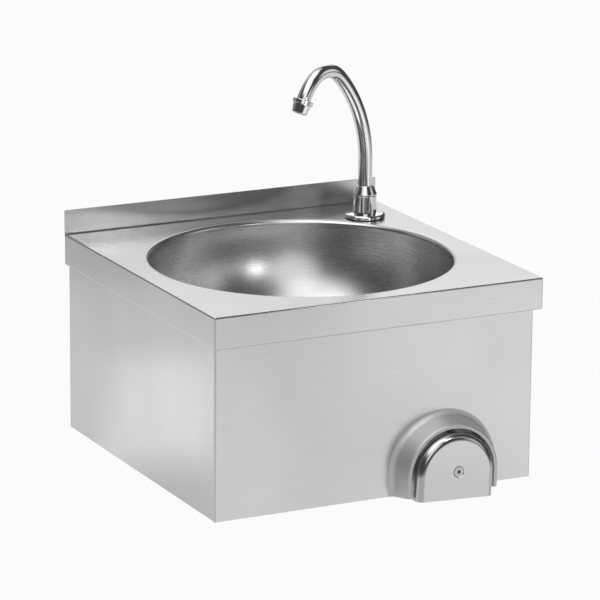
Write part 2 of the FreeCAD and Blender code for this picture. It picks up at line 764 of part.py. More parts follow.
def make_push_rod():
    tip = "(screw_head_height + button_wall - button_reach)"
    end = "(%s + plunger_length)" % plunger_front
    turned("push_rod",
           [("screw_radius + thread_gap", tip), ("rod_radius", tip), ("rod_radius", end), ("0", end),
            ("0", "screw_length - button_reach + screw_hole_spare"),
            ("screw_radius + thread_gap", "screw_length - button_reach + screw_hole_spare")],
           turn=rearward, **at_rod("0"))
    seat = "(button_wall + boss_length - button_reach)"
    ring("spring_seat", "rod_radius + bore_gap", "spring_seat_radius",
         seat, seat + " + spring_seat_thickness", turn=rearward, **at_rod("0"))


def tangent_arcs(start, start_way, end, end_way):
    """Two arcs that leave start and reach end along the given directions."""
    chord, both = end - start, start_way + end_way
    bend = 2 * (1 - start_way.dot(end_way))
    along = chord.dot(both)
    reach = (math.sqrt(along * along + bend * chord.dot(chord)) - along) / bend
    first, last = start + start_way * reach, end - end_way * reach
    joint = (first + last) / 2
    arcs = []
    for begin, corner, finish in ((start, first, joint), (joint, last, end)):
        weight = (finish - begin).Length / (2 * reach)
        middle = (begin + corner * 2 * weight + finish) / (2 + 2 * weight)
        arcs.append(Part.Arc(begin, middle, finish).toShape())
    return arcs


def make_return_spring():
    """A compression spring round the rod, one wire wound on a helix in quarter turns."""
    wire = value("spring_wire")
    radius = value("spring_radius")
    front = value("button_wall + boss_length - button_reach + spring_seat_thickness") + wire / 2
    back = value("bonnet_front") - wire / 2
    turns = value("spring_turns")
    steps = round(turns * 4)
    climb = (back - front) / (turns * 2 * math.pi)

    def place(turn):
        return FreeCAD.Vector(radius * math.cos(turn), front + climb * turn, radius * math.sin(turn))

    def way(turn):
        return FreeCAD.Vector(-radius * math.sin(turn), climb, radius * math.cos(turn)).normalize()

    quarters = [number * 2 * math.pi * turns / steps for number in range(steps + 1)]
    edges = []
    for begin, finish in zip(quarters, quarters[1:]):
        edges += tangent_arcs(place(begin), way(begin), place(finish), way(finish))
    path = Part.Wire(edges)
    section = Part.Wire(Part.Circle(place(0), way(0), wire / 2).toShape())
    shell = path.makePipeShell([section], True, False)
    spring = doc.addObject("Part::Feature", "return_spring")
    spring.Label = "return_spring"
    spring.Shape = shell
    spring.Placement = FreeCAD.Placement(FreeCAD.Vector(value(rod_x), value(casing_front), value(rod_z)),
                                         FreeCAD.Rotation())
    marks = [place(number * math.pi / 18) for number in range(round(turns * 36) + 1)]
    gaps = [(marks[later] - mark).Length - wire
            for number, mark in enumerate(marks) for later in range(number + 18, len(marks))]
    print("spring: least gap to itself %.2f mm" % min(gaps))


# ---------------------------------------------------------------- valve
def make_valve():
    groove = "stem_seal_wire / 2 + seal_side_gap"
    deep = "rod_radius + running_gap + stem_seal_wire"
    bore = "rod_radius + running_gap"
    turned("valve_bonnet",
           [(bore, "bonnet_front"), ("bonnet_radius", "bonnet_front"), ("bonnet_radius", bonnet_end),
            (bore, bonnet_end), (bore, "stem_seal_place + " + groove), (deep, "stem_seal_place + " + groove),
            (deep, "stem_seal_place - (%s)" % groove), (bore, "stem_seal_place - (%s)" % groove)],
           turn=rearward, **at_rod())
    seal_ring("stem_seal", ["stem_seal_place"], "rod_radius + running_gap + stem_seal_wire / 2",
              "stem_seal_wire", turn=rearward, **at_rod())
    nut_front = "(%s - bracket_sheet - lock_nut_thickness)" % bracket_back
    hex_nut("valve_lock_nut", "lock_nut_flats", "bonnet_radius + thread_gap", nut_front, "lock_nut_thickness",
            turn=rearward, **at_rod())
    make_valve_body()
    make_plunger()


def seal_ring(name, heights, radius, wire, **place):
    """One or two O-rings on one axis."""
    body = new_body(name, **place)
    section = new_sketch(body, "XZ")
    for height in heights:
        circle(section, radius, height, "(%s) / 2 - soft_gap" % wire)
    spin(body, "Revolution", section)
    return body


def make_plunger():
    outer = "(bore_radius - running_gap)"
    inner = "rod_radius + thread_gap"
    start, end = plunger_front, "(%s + plunger_length)" % plunger_front
    middle = "(%s + plunger_length / 2)" % plunger_front
    deep = "(bore_radius - running_gap - plunger_seal_wire)"
    groove = "(plunger_seal_wire / 2 + seal_side_gap)"
    turned("valve_plunger",
           [(inner, start), (outer, start), (outer, middle + " - " + groove), (deep, middle + " - " + groove),
            (deep, middle + " + " + groove), (outer, middle + " + " + groove), (outer, end), (inner, end)],
           turn=rearward, **at_rod())
    seal_ring("plunger_seal", [middle], "bore_radius - running_gap - plunger_seal_wire / 2",
              "plunger_seal_wire", turn=rearward, **at_rod())


def make_valve_body():
    """A brass barrel with a cross block for the two inlets and a boss for the outlet."""
    body = new_body("valve_body", **at_rod())
    front = bracket_back
    barrel_end = "(%s + barrel_length)" % front
    seat = bonnet_end
    bore_end = "(%s + bore_length)" % bonnet_end
    chamber_end = "(%s + chamber_length)" % bore_end
    barrel = new_sketch(body, "YZ")
    draw(barrel, [(front, "0"), (front, "barrel_radius"), (barrel_end, "barrel_radius"), (barrel_end, "0")])
    spin(body, "Revolution", barrel, "H_Axis")
    block = new_sketch(body, "XZ", "-" + manifold_back)
    rectangle(block, "-manifold_width / 2", "-manifold_height / 2",
              "manifold_width / 2", "manifold_height / 2")
    extrude(body, "Pad", block, "manifold_depth")
    boss = new_sketch(body, "XY")
    circle(boss, "0", outlet_line, "outlet_boss_radius")
    extrude(body, "Pad", boss, "outlet_boss_height")
    hollow = new_sketch(body, "YZ")
    draw(hollow, [(front, "0"), (front, "bonnet_radius + thread_gap"), (seat, "bonnet_radius + thread_gap"),
                  (seat, "bore_radius"), (bore_end, "bore_radius"), (bore_end, "chamber_radius"),
                  (chamber_end, "chamber_radius"), (chamber_end, "0")])
    spin(body, "Groove", hollow, "H_Axis")
    sockets = new_sketch(body, "XZ", "-" + manifold_back)
    circle(sockets, "-inlet_spacing / 2", "0", "inlet_socket_radius + thread_gap")
    circle(sockets, "inlet_spacing / 2", "0", "inlet_socket_radius + thread_gap")
    extrude(body, "Pocket", sockets, "inlet_socket_depth", back=True)
    across = new_sketch(body, "YZ")
    circle(across, manifold_back + " - inlet_socket_depth", "0", "passage_radius")
    extrude(body, "Pocket", across, "inlet_spacing", middle=True)
    outlet = new_sketch(body, "XY", "outlet_boss_height")
    circle(outlet, "0", outlet_line, "elbow_radius + thread_gap")
    extrude(body, "Pocket", outlet, "outlet_socket_depth")
    riser = new_sketch(body, "XY", "outlet_boss_height - outlet_socket_depth")
    circle(riser, "0", outlet_line, "elbow_bore")
    extrude(body, "Pocket", riser, "outlet_boss_height - outlet_socket_depth")


def make_inlet(name, side):
    """A hexagon nipple with a pipe thread behind, screwed into the valve's cross block."""
    place = at_rod("0")
    place["x"] = "%s + %s * inlet_spacing / 2" % (rod_x, side)
    body = new_body(name, turn=rearward, **place)
    collar = new_sketch(body, "XY", manifold_back)
    hexagon(collar, "inlet_flats")
    extrude(body, "Pad", collar, "inlet_collar")
    spigot = new_sketch(body, "XY", manifold_back)
    circle(spigot, "0", "0", "inlet_socket_radius")
    extrude(body, "Pad", spigot, "inlet_spigot_length", back=True)
    thread = new_sketch(body, "XY", manifold_back + " + inlet_collar")
    circle(thread, "0", "0", "inlet_thread_radius")
    threaded = extrude(body, "Pad", thread, "inlet_thread_length")
    end = manifold_back + " + inlet_collar + inlet_thread_length"
    mouth = edges_in(threaded, ("-inlet_thread_radius", "-inlet_thread_radius", end),
                     ("inlet_thread_radius", "inlet_thread_radius", end))
    dress(body, "Chamfer", threaded, mouth, "thread_chamfer")
    bore = new_sketch(body, "XY", end)
    circle(bore, "0", "0", "inlet_bore_radius")
    extrude(body, "Pocket", bore)


def make_inlet_inserts():
    """A check valve cartridge and a strainer disc in each inlet."""
    mouth = "(%s + inlet_collar + inlet_thread_length)" % manifold_back
    for name, start, length, bore in (
            ("check_valves", "(%s - filter_thickness - check_valve_length)" % mouth,
             "check_valve_length", "check_valve_bore"),
            ("inlet_filters", "(%s - filter_thickness)" % mouth, "filter_thickness", "filter_bore")):
        body = new_body(name, turn=rearward, **at_rod())
        discs = new_sketch(body, "XY", start)
        for side in ("-1", "1"):
            circle(discs, side + " * inlet_spacing / 2", "0", "inlet_bore_radius - thread_gap")
            circle(discs, side + " * inlet_spacing / 2", "0", bore)
        extrude(body, "Pad", discs, length)


def make_outlet_elbow():
    body = new_body("outlet_elbow", **at_rod())
    path = new_sketch(body, "YZ")
    start = "outlet_boss_height - outlet_socket_depth"
    draw(path, [(outlet_line, start), (outlet_line, "outlet_boss_height + elbow_rise"),
                (outlet_line + " + elbow_bend", hose_level, "elbow_bend", False),
                (elbow_end, hose_level)], closed=False)
    section = new_sketch(body, "XY", start)
    circle(section, "0", outlet_line, "elbow_radius")
    circle(section, "0", outlet_line, "elbow_bore")
    pipe = body.newObject("PartDesign::AdditivePipe", "AdditivePipe")
    pipe.Profile = section
    pipe.Spine = path


# ---------------------------------------------------------------- hose from the valve to the tap
def rounded_path(points, radius):
    """Straight runs through the points, joined by tangent arcs of one radius."""
    edges = []
    start = points[0]
    for before, corner, after in zip(points, points[1:], points[2:]):
        way_in = (corner - before).normalize()
        way_out = (after - corner).normalize()
        half_turn = way_in.getAngle(way_out) / 2
        reach = radius * math.tan(half_turn)
        first, last = corner - way_in * reach, corner + way_out * reach
        inward = (way_out - way_in).normalize()
        middle = corner + inward * (radius / math.cos(half_turn) - radius)
        edges.append(Part.LineSegment(start, first).toShape())
        edges.append(Part.Arc(first, middle, last).toShape())
        start = last
    edges.append(Part.LineSegment(start, points[-1]).toShape())
    return Part.Wire(edges)


def make_hose():
    """The hose runs back under the bowl, turns towards the corner and rises to the tap."""
    level = rod_z + " + " + hose_level
    start = casing_front + " + " + elbow_end
    places = ((rod_x, start, level), (rod_x, "-hose_turn_back", level),
              (tap_x, tap_y, level), (tap_x, tap_y, top + " - shank_drop"))
    points = [FreeCAD.Vector(*[value(text) for text in place]) for place in places]
    path = rounded_path(points, value("hose_bend"))
    way = (points[1] - points[0]).normalize()
    tubes = []
    for radius in ("hose_radius", "hose_bore"):
        section = Part.Wire(Part.Circle(points[0], way, value(radius)).toShape())
        tubes.append(path.makePipeShell([section], True, False))
    hose = doc.addObject("Part::Feature", "tap_hose")
    hose.Label = "tap_hose"
    hose.Shape = tubes[0].cut(tubes[1])
    section_area = math.pi * (value("hose_radius") ** 2 - value("hose_bore") ** 2)
    print("hose: both bends %.0f mm, length %.1f mm, volume / (section x length) %.4f"
          % (value("hose_bend"), path.Length, hose.Shape.Volume / (section_area * path.Length)))

    lower = {"x": rod_x, "y": casing_front, "z": level, "turn": rearward}
    grip = "(%s - hose_nut_grip)" % elbow_end
    stepped_nut("hose_lower_nut", "hose_nut_flats", "elbow_radius", grip, elbow_end, **lower)
    crimp("lower_hose_ferrule", "(%s + hose_nut_length)" % grip, **lower)
    upper = at_tap()
    upper["turn"] = downward
    grip = "(shank_drop - hose_nut_grip)"
    stepped_nut("hose_upper_nut", "upper_nut_flats", "shank_radius", grip, "shank_drop", **upper)
    crimp("upper_hose_ferrule", "(%s + hose_nut_length)" % grip, **upper)


def stepped_nut(name, flats, pipe, start, seat, **place):
    """A hexagon nut that holds a pipe's end and lets the thinner hose out behind."""
    body = hex_nut(name, flats, "hose_radius + thread_gap", start, "hose_nut_length", **place)
    counterbore = new_sketch(body, "XZ")
    wide = pipe + " + thread_gap"
    draw(counterbore, [("0", start), (wide, start), (wide, seat), ("0", seat)])
    spin(body, "Groove", counterbore)


def crimp(name, start, **place):
    """A crimped sleeve with two pressed rings."""
    inner, outer, waist = "hose_radius + thread_gap", "ferrule_radius", "ferrule_radius - crimp_depth"
    end = start + " + ferrule_length"
    corners = [(inner, start), (outer, start)]
    for crimp_start in ("crimp_first", "crimp_second"):
        low, high = start + " + " + crimp_start, "%s + %s + crimp_width" % (start, crimp_start)
        corners += [(outer, low), (waist, low), (waist, high), (outer, high)]
    corners += [(outer, end), (inner, end)]
    turned(name, corners, **place)


# ---------------------------------------------------------------- tap and spout
def make_tap():
    foot = "gasket_thickness"
    shank_bore = "shank_radius + thread_gap"
    ring("tap_gasket", "tap_hole_radius", "gasket_radius", "0", foot, **at_tap())
    rim = "(gasket_thickness + flange_height)"
    turned("tap_flange",
           [("tap_body_radius + bore_gap", foot), ("flange_radius", foot),
            ("flange_radius", rim + " - flange_edge_radius - flange_fall"),
            ("flange_radius - flange_edge_radius", rim + " - flange_fall", "flange_edge_radius", True),
            ("tap_body_radius + bore_gap", rim)], **at_tap())
    turned("tap_body",
           [(shank_bore, foot), ("tap_body_radius", foot), ("tap_body_radius", "tap_body_top"),
            ("nut_thread_radius", "tap_body_top"), ("nut_thread_radius", "foot_top"),
            ("foot_bore_radius", "foot_top"), ("foot_bore_radius", "foot_floor"),
            ("tap_waterway", "foot_floor"), ("tap_waterway", "shank_socket"),
            (shank_bore, "shank_socket")], **at_tap())
    ring("tap_shank", "tap_waterway", "shank_radius", "-shank_drop", "shank_socket", **at_tap())
    ring("tap_rubber_washer", "shank_radius + washer_gap", "tap_washer_radius",
         "-top_sheet - rubber_washer_thickness", "-top_sheet", **at_tap())
    ring("tap_steel_washer", "shank_radius + washer_gap", "tap_washer_radius",
         nut_seat, nut_seat + " + steel_washer_thickness", **at_tap())
    hex_nut("tap_back_nut", "back_nut_flats", shank_bore, nut_seat + " - back_nut_thickness",
            "back_nut_thickness", **at_tap())
    spigot = "nut_thread_radius - thread_gap"
    bore = "spout_radius + bore_gap"
    turned("spout_nut",
           [(bore, "foot_top + spout_nut_gap"), (spigot, "foot_top + spout_nut_gap"),
            (spigot, "tap_body_top"), ("tap_body_radius", "tap_body_top"),
            ("nut_belt_radius", "tap_body_top + nut_belt_chamfer"),
            ("nut_belt_radius", "nut_belt_top"), ("nut_top_radius", "nut_top"), (bore, "nut_top")],
           **at_tap())


def spout_frame(name):
    """A body on the tap's axis, swung about it towards the bowl."""
    return new_body(name, turn=(FreeCAD.Vector(0, 0, 1), 1), angle="spout_swing", **at_tap())


# ends of the spout's bends, in its own plane, and the angle turned by then
turn_two = "(spout_turn_one + spout_turn_two)"
turn_all = "(spout_turn_one + spout_turn_two + spout_turn_three)"
bend_one_x = "(spout_bend_one * (cos(spout_turn_one) - 1))"
bend_one_z = "(spout_straight + spout_bend_one * sin(spout_turn_one))"
bend_two_x = "(%s + spout_bend_two * (cos(%s) - cos(spout_turn_one)))" % (bend_one_x, turn_two)
bend_two_z = "(%s + spout_bend_two * (sin(%s) - sin(spout_turn_one)))" % (bend_one_z, turn_two)
bend_three_x = "(%s + spout_bend_three * (cos(%s) - cos(%s)))" % (bend_two_x, turn_all, turn_two)
bend_three_z = "(%s + spout_bend_three * (sin(%s) - sin(%s)))" % (bend_two_z, turn_all, turn_two)


def make_spout():
    body = spout_frame("spout")
    foot = "(foot_floor + spout_foot_gap)"
    path = new_sketch(body, "XZ")
    draw(path, [("0", foot), ("0", "spout_straight"),
                (bend_one_x, bend_one_z, "spout_bend_one", True),
                (bend_two_x, bend_two_z, "spout_bend_two", True),
                (bend_three_x, bend_three_z, "spout_bend_three", True),
                ("%s - spout_tail * sin(%s)" % (bend_three_x, turn_all),
                 "%s + spout_tail * cos(%s)" % (bend_three_z, turn_all))], closed=False)
    section = new_sketch(body, "XY", foot)
    circle(section, "0", "0", "spout_radius")
    circle(section, "0", "0", "spout_bore")
    pipe = body.newObject("PartDesign::AdditivePipe", "AdditivePipe")
    pipe.Profile = section
    pipe.Spine = path
    groove, deep = "seal_groove_width / 2", "foot_bore_radius - seal_wire - running_gap"
    outer = "foot_bore_radius - running_gap"
    inner = "spout_radius + soft_gap"
    corners = [(inner, foot), (outer, foot)]
    for height in ("lower_seal_height", "upper_seal_height"):
        low, high = "%s - %s" % (height, groove), "%s + %s" % (height, groove)
        corners += [(outer, low), (deep, low), (deep, high), (outer, high)]
    corners += [(outer, "foot_top - ferrule_top_gap"), (inner, "foot_top - ferrule_top_gap")]
    turned("spout_ferrule", corners, **at_tap())
    seal_ring("spout_seals", ["lower_seal_height", "upper_seal_height"],
              "foot_bore_radius - running_gap - seal_wire / 2", "seal_wire", **at_tap())


def tail_sketch(body):
    """A sketch whose upward axis runs out of the spout's mouth."""
    return new_sketch(body, "XZ", "0", (bend_three_x, bend_three_z), turn_all)


def make_aerator():
    bore = "(spout_radius + bore_gap)"
    lip_top = "(aerator_length - aerator_lip)"
    shell = spout_frame("aerator_shell")
    section = tail_sketch(shell)
    draw(section, [(bore, "0"), ("aerator_ring_radius - aerator_top_chamfer", "0"),
                   ("aerator_ring_radius", "aerator_top_chamfer"),
                   ("aerator_ring_radius", "aerator_ring_length - aerator_edge_chamfer"),
                   ("aerator_ring_radius - aerator_edge_chamfer", "aerator_ring_length"),
                   ("aerator_top_radius", "aerator_ring_length"),
                   ("aerator_end_radius", "aerator_length - aerator_edge_chamfer"),
                   ("aerator_end_radius - aerator_edge_chamfer", "aerator_length"),
                   ("aerator_lip_radius", "aerator_length"), ("aerator_lip_radius", lip_top),
                   (bore, lip_top)])
    spin(shell, "Revolution", section)
    seal = spout_frame("aerator_seal")
    section = tail_sketch(seal)
    seal_end = "(spout_tail + aerator_seal_thickness)"
    rectangle(section, "spout_bore", "spout_tail", "spout_radius", seal_end)
    spin(seal, "Revolution", section)
    insert = spout_frame("aerator_insert")
    section = tail_sketch(insert)
    rim, recess = "spout_radius - insert_rim", seal_end + " + insert_recess"
    draw(section, [("0", recess), (rim, recess), (rim, seal_end), ("spout_radius", seal_end),
                   ("spout_radius", lip_top), ("0", lip_top)])
    spin(insert, "Revolution", section)
    out_x = "(%s + jet_circle_radius * cos(%s))" % (bend_three_x, turn_all)
    out_z = "(%s + jet_circle_radius * sin(%s))" % (bend_three_z, turn_all)
    jet = new_sketch(insert, "XZ", "0", (out_x, out_z), turn_all)
    rectangle(jet, "0", "0", "jet_hole_radius", "aerator_length")
    hole = spin(insert, "Groove", jet)
    ring_pattern(insert, hole, "jet_count", (section, ["V_Axis"]))


# ---------------------------------------------------------------- waste
def make_waste():
    spigot_outer = "(drain_hole_radius - waste_mouth_gap)"
    spigot_inner = "(drain_hole_radius - waste_mouth_gap - grid_spigot_wall)"
    spigot_end = grid_under + " - grid_spigot_length"
    body = turned("waste_grid",
                  [("0", grid_under), (spigot_inner, grid_under), (spigot_inner, spigot_end),
                   (spigot_outer, spigot_end), (spigot_outer, grid_under),
                   ("grid_radius", grid_under), ("grid_radius", grid_top + " - grid_edge"),
                   ("grid_radius - grid_edge", grid_top), ("0", grid_top)], **at_bowl())
    hole = new_sketch(body, "XY", grid_top)
    circle(hole, "grid_circle_radius", "0", "grid_hole_radius")
    slot = extrude(body, "Pocket", hole, "grid_thickness + cut_over")
    ring_pattern(body, slot, "grid_hole_count")
    centre = new_sketch(body, "XZ")
    screw_hole = "screw_radius + bore_gap"
    draw(centre, [("0", grid_top), ("screw_head_radius + bore_gap", grid_top),
                  (screw_hole, grid_under + " + screw_head_land"), (screw_hole, grid_under),
                  ("0", grid_under)])
    spin(body, "Groove", centre)
    ring("waste_upper_seal", "drain_hole_radius", "grid_radius - grid_edge",
         recess_floor, grid_under, **at_bowl())
    seal_under = "(%s - lower_seal_thickness)" % recess_under
    ring("waste_lower_seal", "drain_hole_radius", "waste_seal_radius", seal_under, recess_under, **at_bowl())
    flange_under = "(%s - waste_flange_thickness)" % seal_under
    mouth = "drain_hole_radius + waste_mouth_gap"
    step = "%s - grid_spigot_length - waste_mouth_gap" % grid_under
    body = turned("waste_body",
                  [(mouth, seal_under), ("waste_seal_radius", seal_under),
                   ("waste_seal_radius", flange_under),
                   ("waste_seal_radius - waste_flange_lip", flange_under + " - waste_neck_start"),
                   ("waste_thread_radius", flange_under + " - waste_neck_end"),
                   ("waste_thread_radius", "thread_chamfer - waste_end_drop"),
                   ("waste_thread_radius - thread_chamfer", "-waste_end_drop"),
                   ("waste_bore_radius", "-waste_end_drop"), ("waste_bore_radius", step), (mouth, step)],
                  **at_bowl())
    bar = new_sketch(body, "XY", "-waste_bar_drop")
    half = "waste_bore_radius + waste_bar_root"
    rectangle(bar, "-(%s)" % half, "-waste_bar_width / 2", half, "waste_bar_width / 2")
    extrude(body, "Pad", bar, "waste_bar_height", back=True)
    thread = new_sketch(body, "XY", "-waste_bar_drop")
    circle(thread, "0", "0", "screw_radius + thread_gap")
    extrude(body, "Pocket", thread, "waste_bar_height + cut_over")
    screw = turned("waste_screw",
                   [("0", grid_top), ("screw_head_radius", grid_top),
                    ("screw_radius", grid_under + " + screw_head_land"),
                    ("screw_radius", grid_top + " - waste_screw_length"),
                    ("0", grid_top + " - waste_screw_length")],
                   **at_bowl())
    drive = new_sketch(screw, "XY", grid_top)
    rectangle(drive, "-screw_head_radius", "-screw_slot_width / 2",
              "screw_head_radius", "screw_slot_width / 2")
    extrude(screw, "Pocket", drive, "screw_slot_depth")


# ---------------------------------------------------------------- build, check and write
make_worktop()
make_bowl()
make_front_panel()
make_side_panel("left_side_panel", "-1")
make_side_panel("right_side_panel", "1")
make_rails()
make_knee_housing()
make_valve_bracket()
make_knee_button()
make_button_screw()
make_push_rod()
make_return_spring()
make_valve()
make_inlet("hot_inlet_nipple", "-1")
make_inlet("cold_inlet_nipple", "1")
make_inlet_inserts()
make_outlet_elbow()
make_hose()
make_tap()
make_spout()
make_aerator()
make_waste()
doc.recompute()

for item in doc.Objects:
    if "Invalid" in item.State or "Error" in item.State:
        raise RuntimeError("%s failed: %s" % (item.Label, item.State))
pieces = [item for item in doc.Objects if item.TypeId in ("PartDesign::Body", "Part::Feature")]
os.makedirs("parts", exist_ok=True)
for piece in pieces:
    if piece.Shape.isNull() or not piece.Shape.isValid() or not piece.Shape.Solids:
        raise RuntimeError("%s has no valid solid" % piece.Label)
for piece in pieces:
    piece.Shape.exportStep("parts/%s.step" % piece.Label)
    print("%-20s %d solids %10.1f mm3" % (piece.Label, len(piece.Shape.Solids), piece.Shape.Volume))
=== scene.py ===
import math

import bmesh
import bpy
from mathutils import Matrix, Vector


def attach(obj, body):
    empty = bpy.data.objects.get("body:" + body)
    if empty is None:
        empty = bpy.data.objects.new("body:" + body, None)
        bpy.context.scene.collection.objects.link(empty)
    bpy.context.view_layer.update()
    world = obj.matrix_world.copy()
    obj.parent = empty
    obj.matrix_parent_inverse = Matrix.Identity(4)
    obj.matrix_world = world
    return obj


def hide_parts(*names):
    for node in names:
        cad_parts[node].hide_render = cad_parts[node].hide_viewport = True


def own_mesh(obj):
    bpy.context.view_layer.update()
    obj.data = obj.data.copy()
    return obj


# Knee-operated hand basin in folded stainless steel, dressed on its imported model.
# Everything lies in the model's own frame: +X right, -Y front, +Z up, with the wall at y = 0.
# Sizes in the dictionaries are millimetres.

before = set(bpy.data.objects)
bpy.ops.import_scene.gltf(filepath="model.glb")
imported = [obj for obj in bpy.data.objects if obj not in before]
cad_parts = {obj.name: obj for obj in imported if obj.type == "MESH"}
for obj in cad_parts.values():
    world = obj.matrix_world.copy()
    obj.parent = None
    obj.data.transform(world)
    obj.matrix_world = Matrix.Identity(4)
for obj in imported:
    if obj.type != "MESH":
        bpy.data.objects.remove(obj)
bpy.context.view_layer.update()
mm = 0.001
nearby = 0.02  # millimetres: points nearer than this are one point
across, back, up = Vector((1, 0, 0)), Vector((0, 1, 0)), Vector((0, 0, 1))
print("frame loaded,", len(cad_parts), "nodes")


# the camera of the photograph, solved from the straight edges of the worktop
camera = {"place": (-1.88292, -3.94299, 1.13413), "turn": (74.8954, -0.4668, -26.5948), "lens": 231.71}

bpy.ops.object.camera_add(location=camera["place"], rotation=[math.radians(a) for a in camera["turn"]])
photoCamera = bpy.context.object
photoCamera.name = "photoCamera"
photoCamera.data.lens = camera["lens"]
photoCamera.data.clip_end = 100
bpy.context.scene.camera = photoCamera
print("camera set")


# materials
def hexColour(text):
    # sRGB hex to the linear colour that a node wants
    channels = [int(text[i:i + 2], 16) / 255 for i in (1, 3, 5)]
    return [c / 12.92 if c <= 0.04045 else ((c + 0.055) / 1.055) ** 2.4 for c in channels] + [1]


def addNode(tree, kind, settings, links):
    # one node with its settings (a property or a socket's value) and its links (socket: what feeds it)
    node = tree.nodes.new(kind)
    for name, value in settings.items():
        if isinstance(name, str) and hasattr(node, name):
            setattr(node, name, value)
        else:
            node.inputs[name].default_value = value
    for name, source in links.items():
        tree.links.new(source, node.inputs[name])
    return node


def startMaterial(name, colour, metallic, roughness, **sockets):
    material = bpy.data.materials.new(name)
    material.use_nodes = True
    tree = material.node_tree
    shader = tree.nodes["Principled BSDF"]
    shader.inputs["Base Color"].default_value = hexColour(colour)
    shader.inputs["Metallic"].default_value = metallic
    shader.inputs["Roughness"].default_value = roughness
    for socket, value in sockets.items():
        shader.inputs[socket.replace("_", " ")].default_value = value
    place = tree.nodes.new("ShaderNodeTexCoord").outputs["Object"]
    return material, tree, shader, place


def addPattern(tree, place, stretch, grain, detail=2.0):
    # noise whose grain is so many millimetres, drawn out by `stretch` along each axis
    mapped = addNode(tree, "ShaderNodeMapping", {"Scale": [1 / s for s in stretch]}, {"Vector": place})
    noise = addNode(tree, "ShaderNodeTexNoise", {"Scale": 1 / (grain * mm), "Detail": detail},
                    {"Vector": mapped.outputs["Vector"]})
    return noise.outputs["Fac"]


def varyRoughness(tree, shader, pattern, low, high):
    # noise seldom leaves 0.3 to 0.7, so that span takes the whole range
    span = addNode(tree, "ShaderNodeMapRange",
                   {"From Min": 0.3, "From Max": 0.7, "To Min": low, "To Max": high}, {"Value": pattern})
    tree.links.new(span.outputs["Result"], shader.inputs["Roughness"])


def varyColour(tree, shader, pattern, dark, light):
    ramp = addNode(tree, "ShaderNodeValToRGB", {}, {"Fac": pattern})
    ends = ramp.color_ramp.elements
    for end, position, colour in ((ends[0], 0.35, dark), (ends[1], 0.65, light)):
        end.position = position
        end.color = hexColour(colour)
    tree.links.new(ramp.outputs["Color"], shader.inputs["Base Color"])


def addRelief(tree, shader, pattern, height, before=None):
    # bump of so many millimetres, laid over the bump before it
    links = {"Height": pattern}
    if before:
        links["Normal"] = before
    bump = addNode(tree, "ShaderNodeBump", {"Strength": 1.0, "Distance": height * mm}, links)
    tree.links.new(bump.outputs["Normal"], shader.inputs["Normal"])
    return bump.outputs["Normal"]


# the scratches' spacing, their length in spacings and their depth, and the sheet's waves and their height
satin = {"colour": "#D1D1D2", "dark": "#CCCCCD", "light": "#D5D5D6", "rough": (0.23, 0.27), "grain": 0.5,
         "length": 80, "relief": 0.0002, "wave": 170, "swell": 0.12}


def satinSteel(name, grainAlong):
    # AISI 304 sheet, satin polished: fine straight scratches spread the reflections softly, and the
    # rolled sheet's slight waves give them clouds. The scratches are drawn 0.5 mm apart, coarser than real.
    material, tree, shader, place = startMaterial(name, satin["colour"], 1.0, satin["rough"][0])
    stretch = [satin["length"] if i == grainAlong else 1 for i in range(3)]
    scratches = addPattern(tree, place, stretch, satin["grain"])
    clouds = addPattern(tree, place, (1, 1, 1), satin["wave"], 1.0)
    varyRoughness(tree, shader, scratches, *satin["rough"])
    varyColour(tree, shader, clouds, satin["dark"], satin["light"])
    waves = addRelief(tree, shader, clouds, satin["swell"])
    addRelief(tree, shader, scratches, satin["relief"], waves)
    return material


steelAlongX = satinSteel("satinSteelAlongX", 0)
steelAlongY = satinSteel("satinSteelAlongY", 1)


def spunSteel(name, centre, colour, rough, tip=0):
    # the same sheet pressed and spin polished: its scratches run round an axis, upright or tipped by an angle
    material, tree, shader, place = startMaterial(name, colour, 1.0, rough[0])
    shift = Matrix.Rotation(tip, 3, "X") @ -Vector(centre)
    local = addNode(tree, "ShaderNodeMapping", {"Rotation": (tip, 0, 0), "Location": shift},
                    {"Vector": place})
    axes = addNode(tree, "ShaderNodeSeparateXYZ", {}, {"Vector": local.outputs["Vector"]})
    flat = addNode(tree, "ShaderNodeCombineXYZ", {}, {"X": axes.outputs["X"], "Y": axes.outputs["Y"]})
    radius = addNode(tree, "ShaderNodeVectorMath", {"operation": "LENGTH"}, {0: flat.outputs["Vector"]})
    angle = addNode(tree, "ShaderNodeMath", {"operation": "ARCTAN2"},
                    {0: axes.outputs["Y"], 1: axes.outputs["X"]})
    # the angle counts 4 mm a radian, so that each scratch runs far round
    short = addNode(tree, "ShaderNodeMath", {"operation": "MULTIPLY", 1: 4 * mm}, {0: angle.outputs["Value"]})
    rings = addNode(tree, "ShaderNodeCombineXYZ", {}, {"X": radius.outputs["Value"], "Y": axes.outputs["Z"],
                                                       "Z": short.outputs["Value"]})
    scratches = addPattern(tree, rings.outputs["Vector"], (1, 1, 1), satin["grain"])
    varyRoughness(tree, shader, scratches, *rough)
    addRelief(tree, shader, scratches, satin["relief"])
    return material


bowlSteel = spunSteel("spunSteelBowl", (0, -0.205, 0), "#CDCDCE", (0.25, 0.30))
print("materials made")


# modelling helpers
def objectMode():
    if bpy.context.object and bpy.context.object.mode == "EDIT":
        bpy.ops.object.mode_set(mode="OBJECT")


def workOn(piece):
    objectMode()
    bpy.ops.object.select_all(action="DESELECT")
    piece.select_set(True)
    bpy.context.view_layer.objects.active = piece


def settle(name):
    # the new primitive gets its name, and its place goes into its mesh
    piece = bpy.context.object
    piece.name = piece.data.name = name
    bpy.ops.object.transform_apply(location=True, rotation=True, scale=True)
    return piece


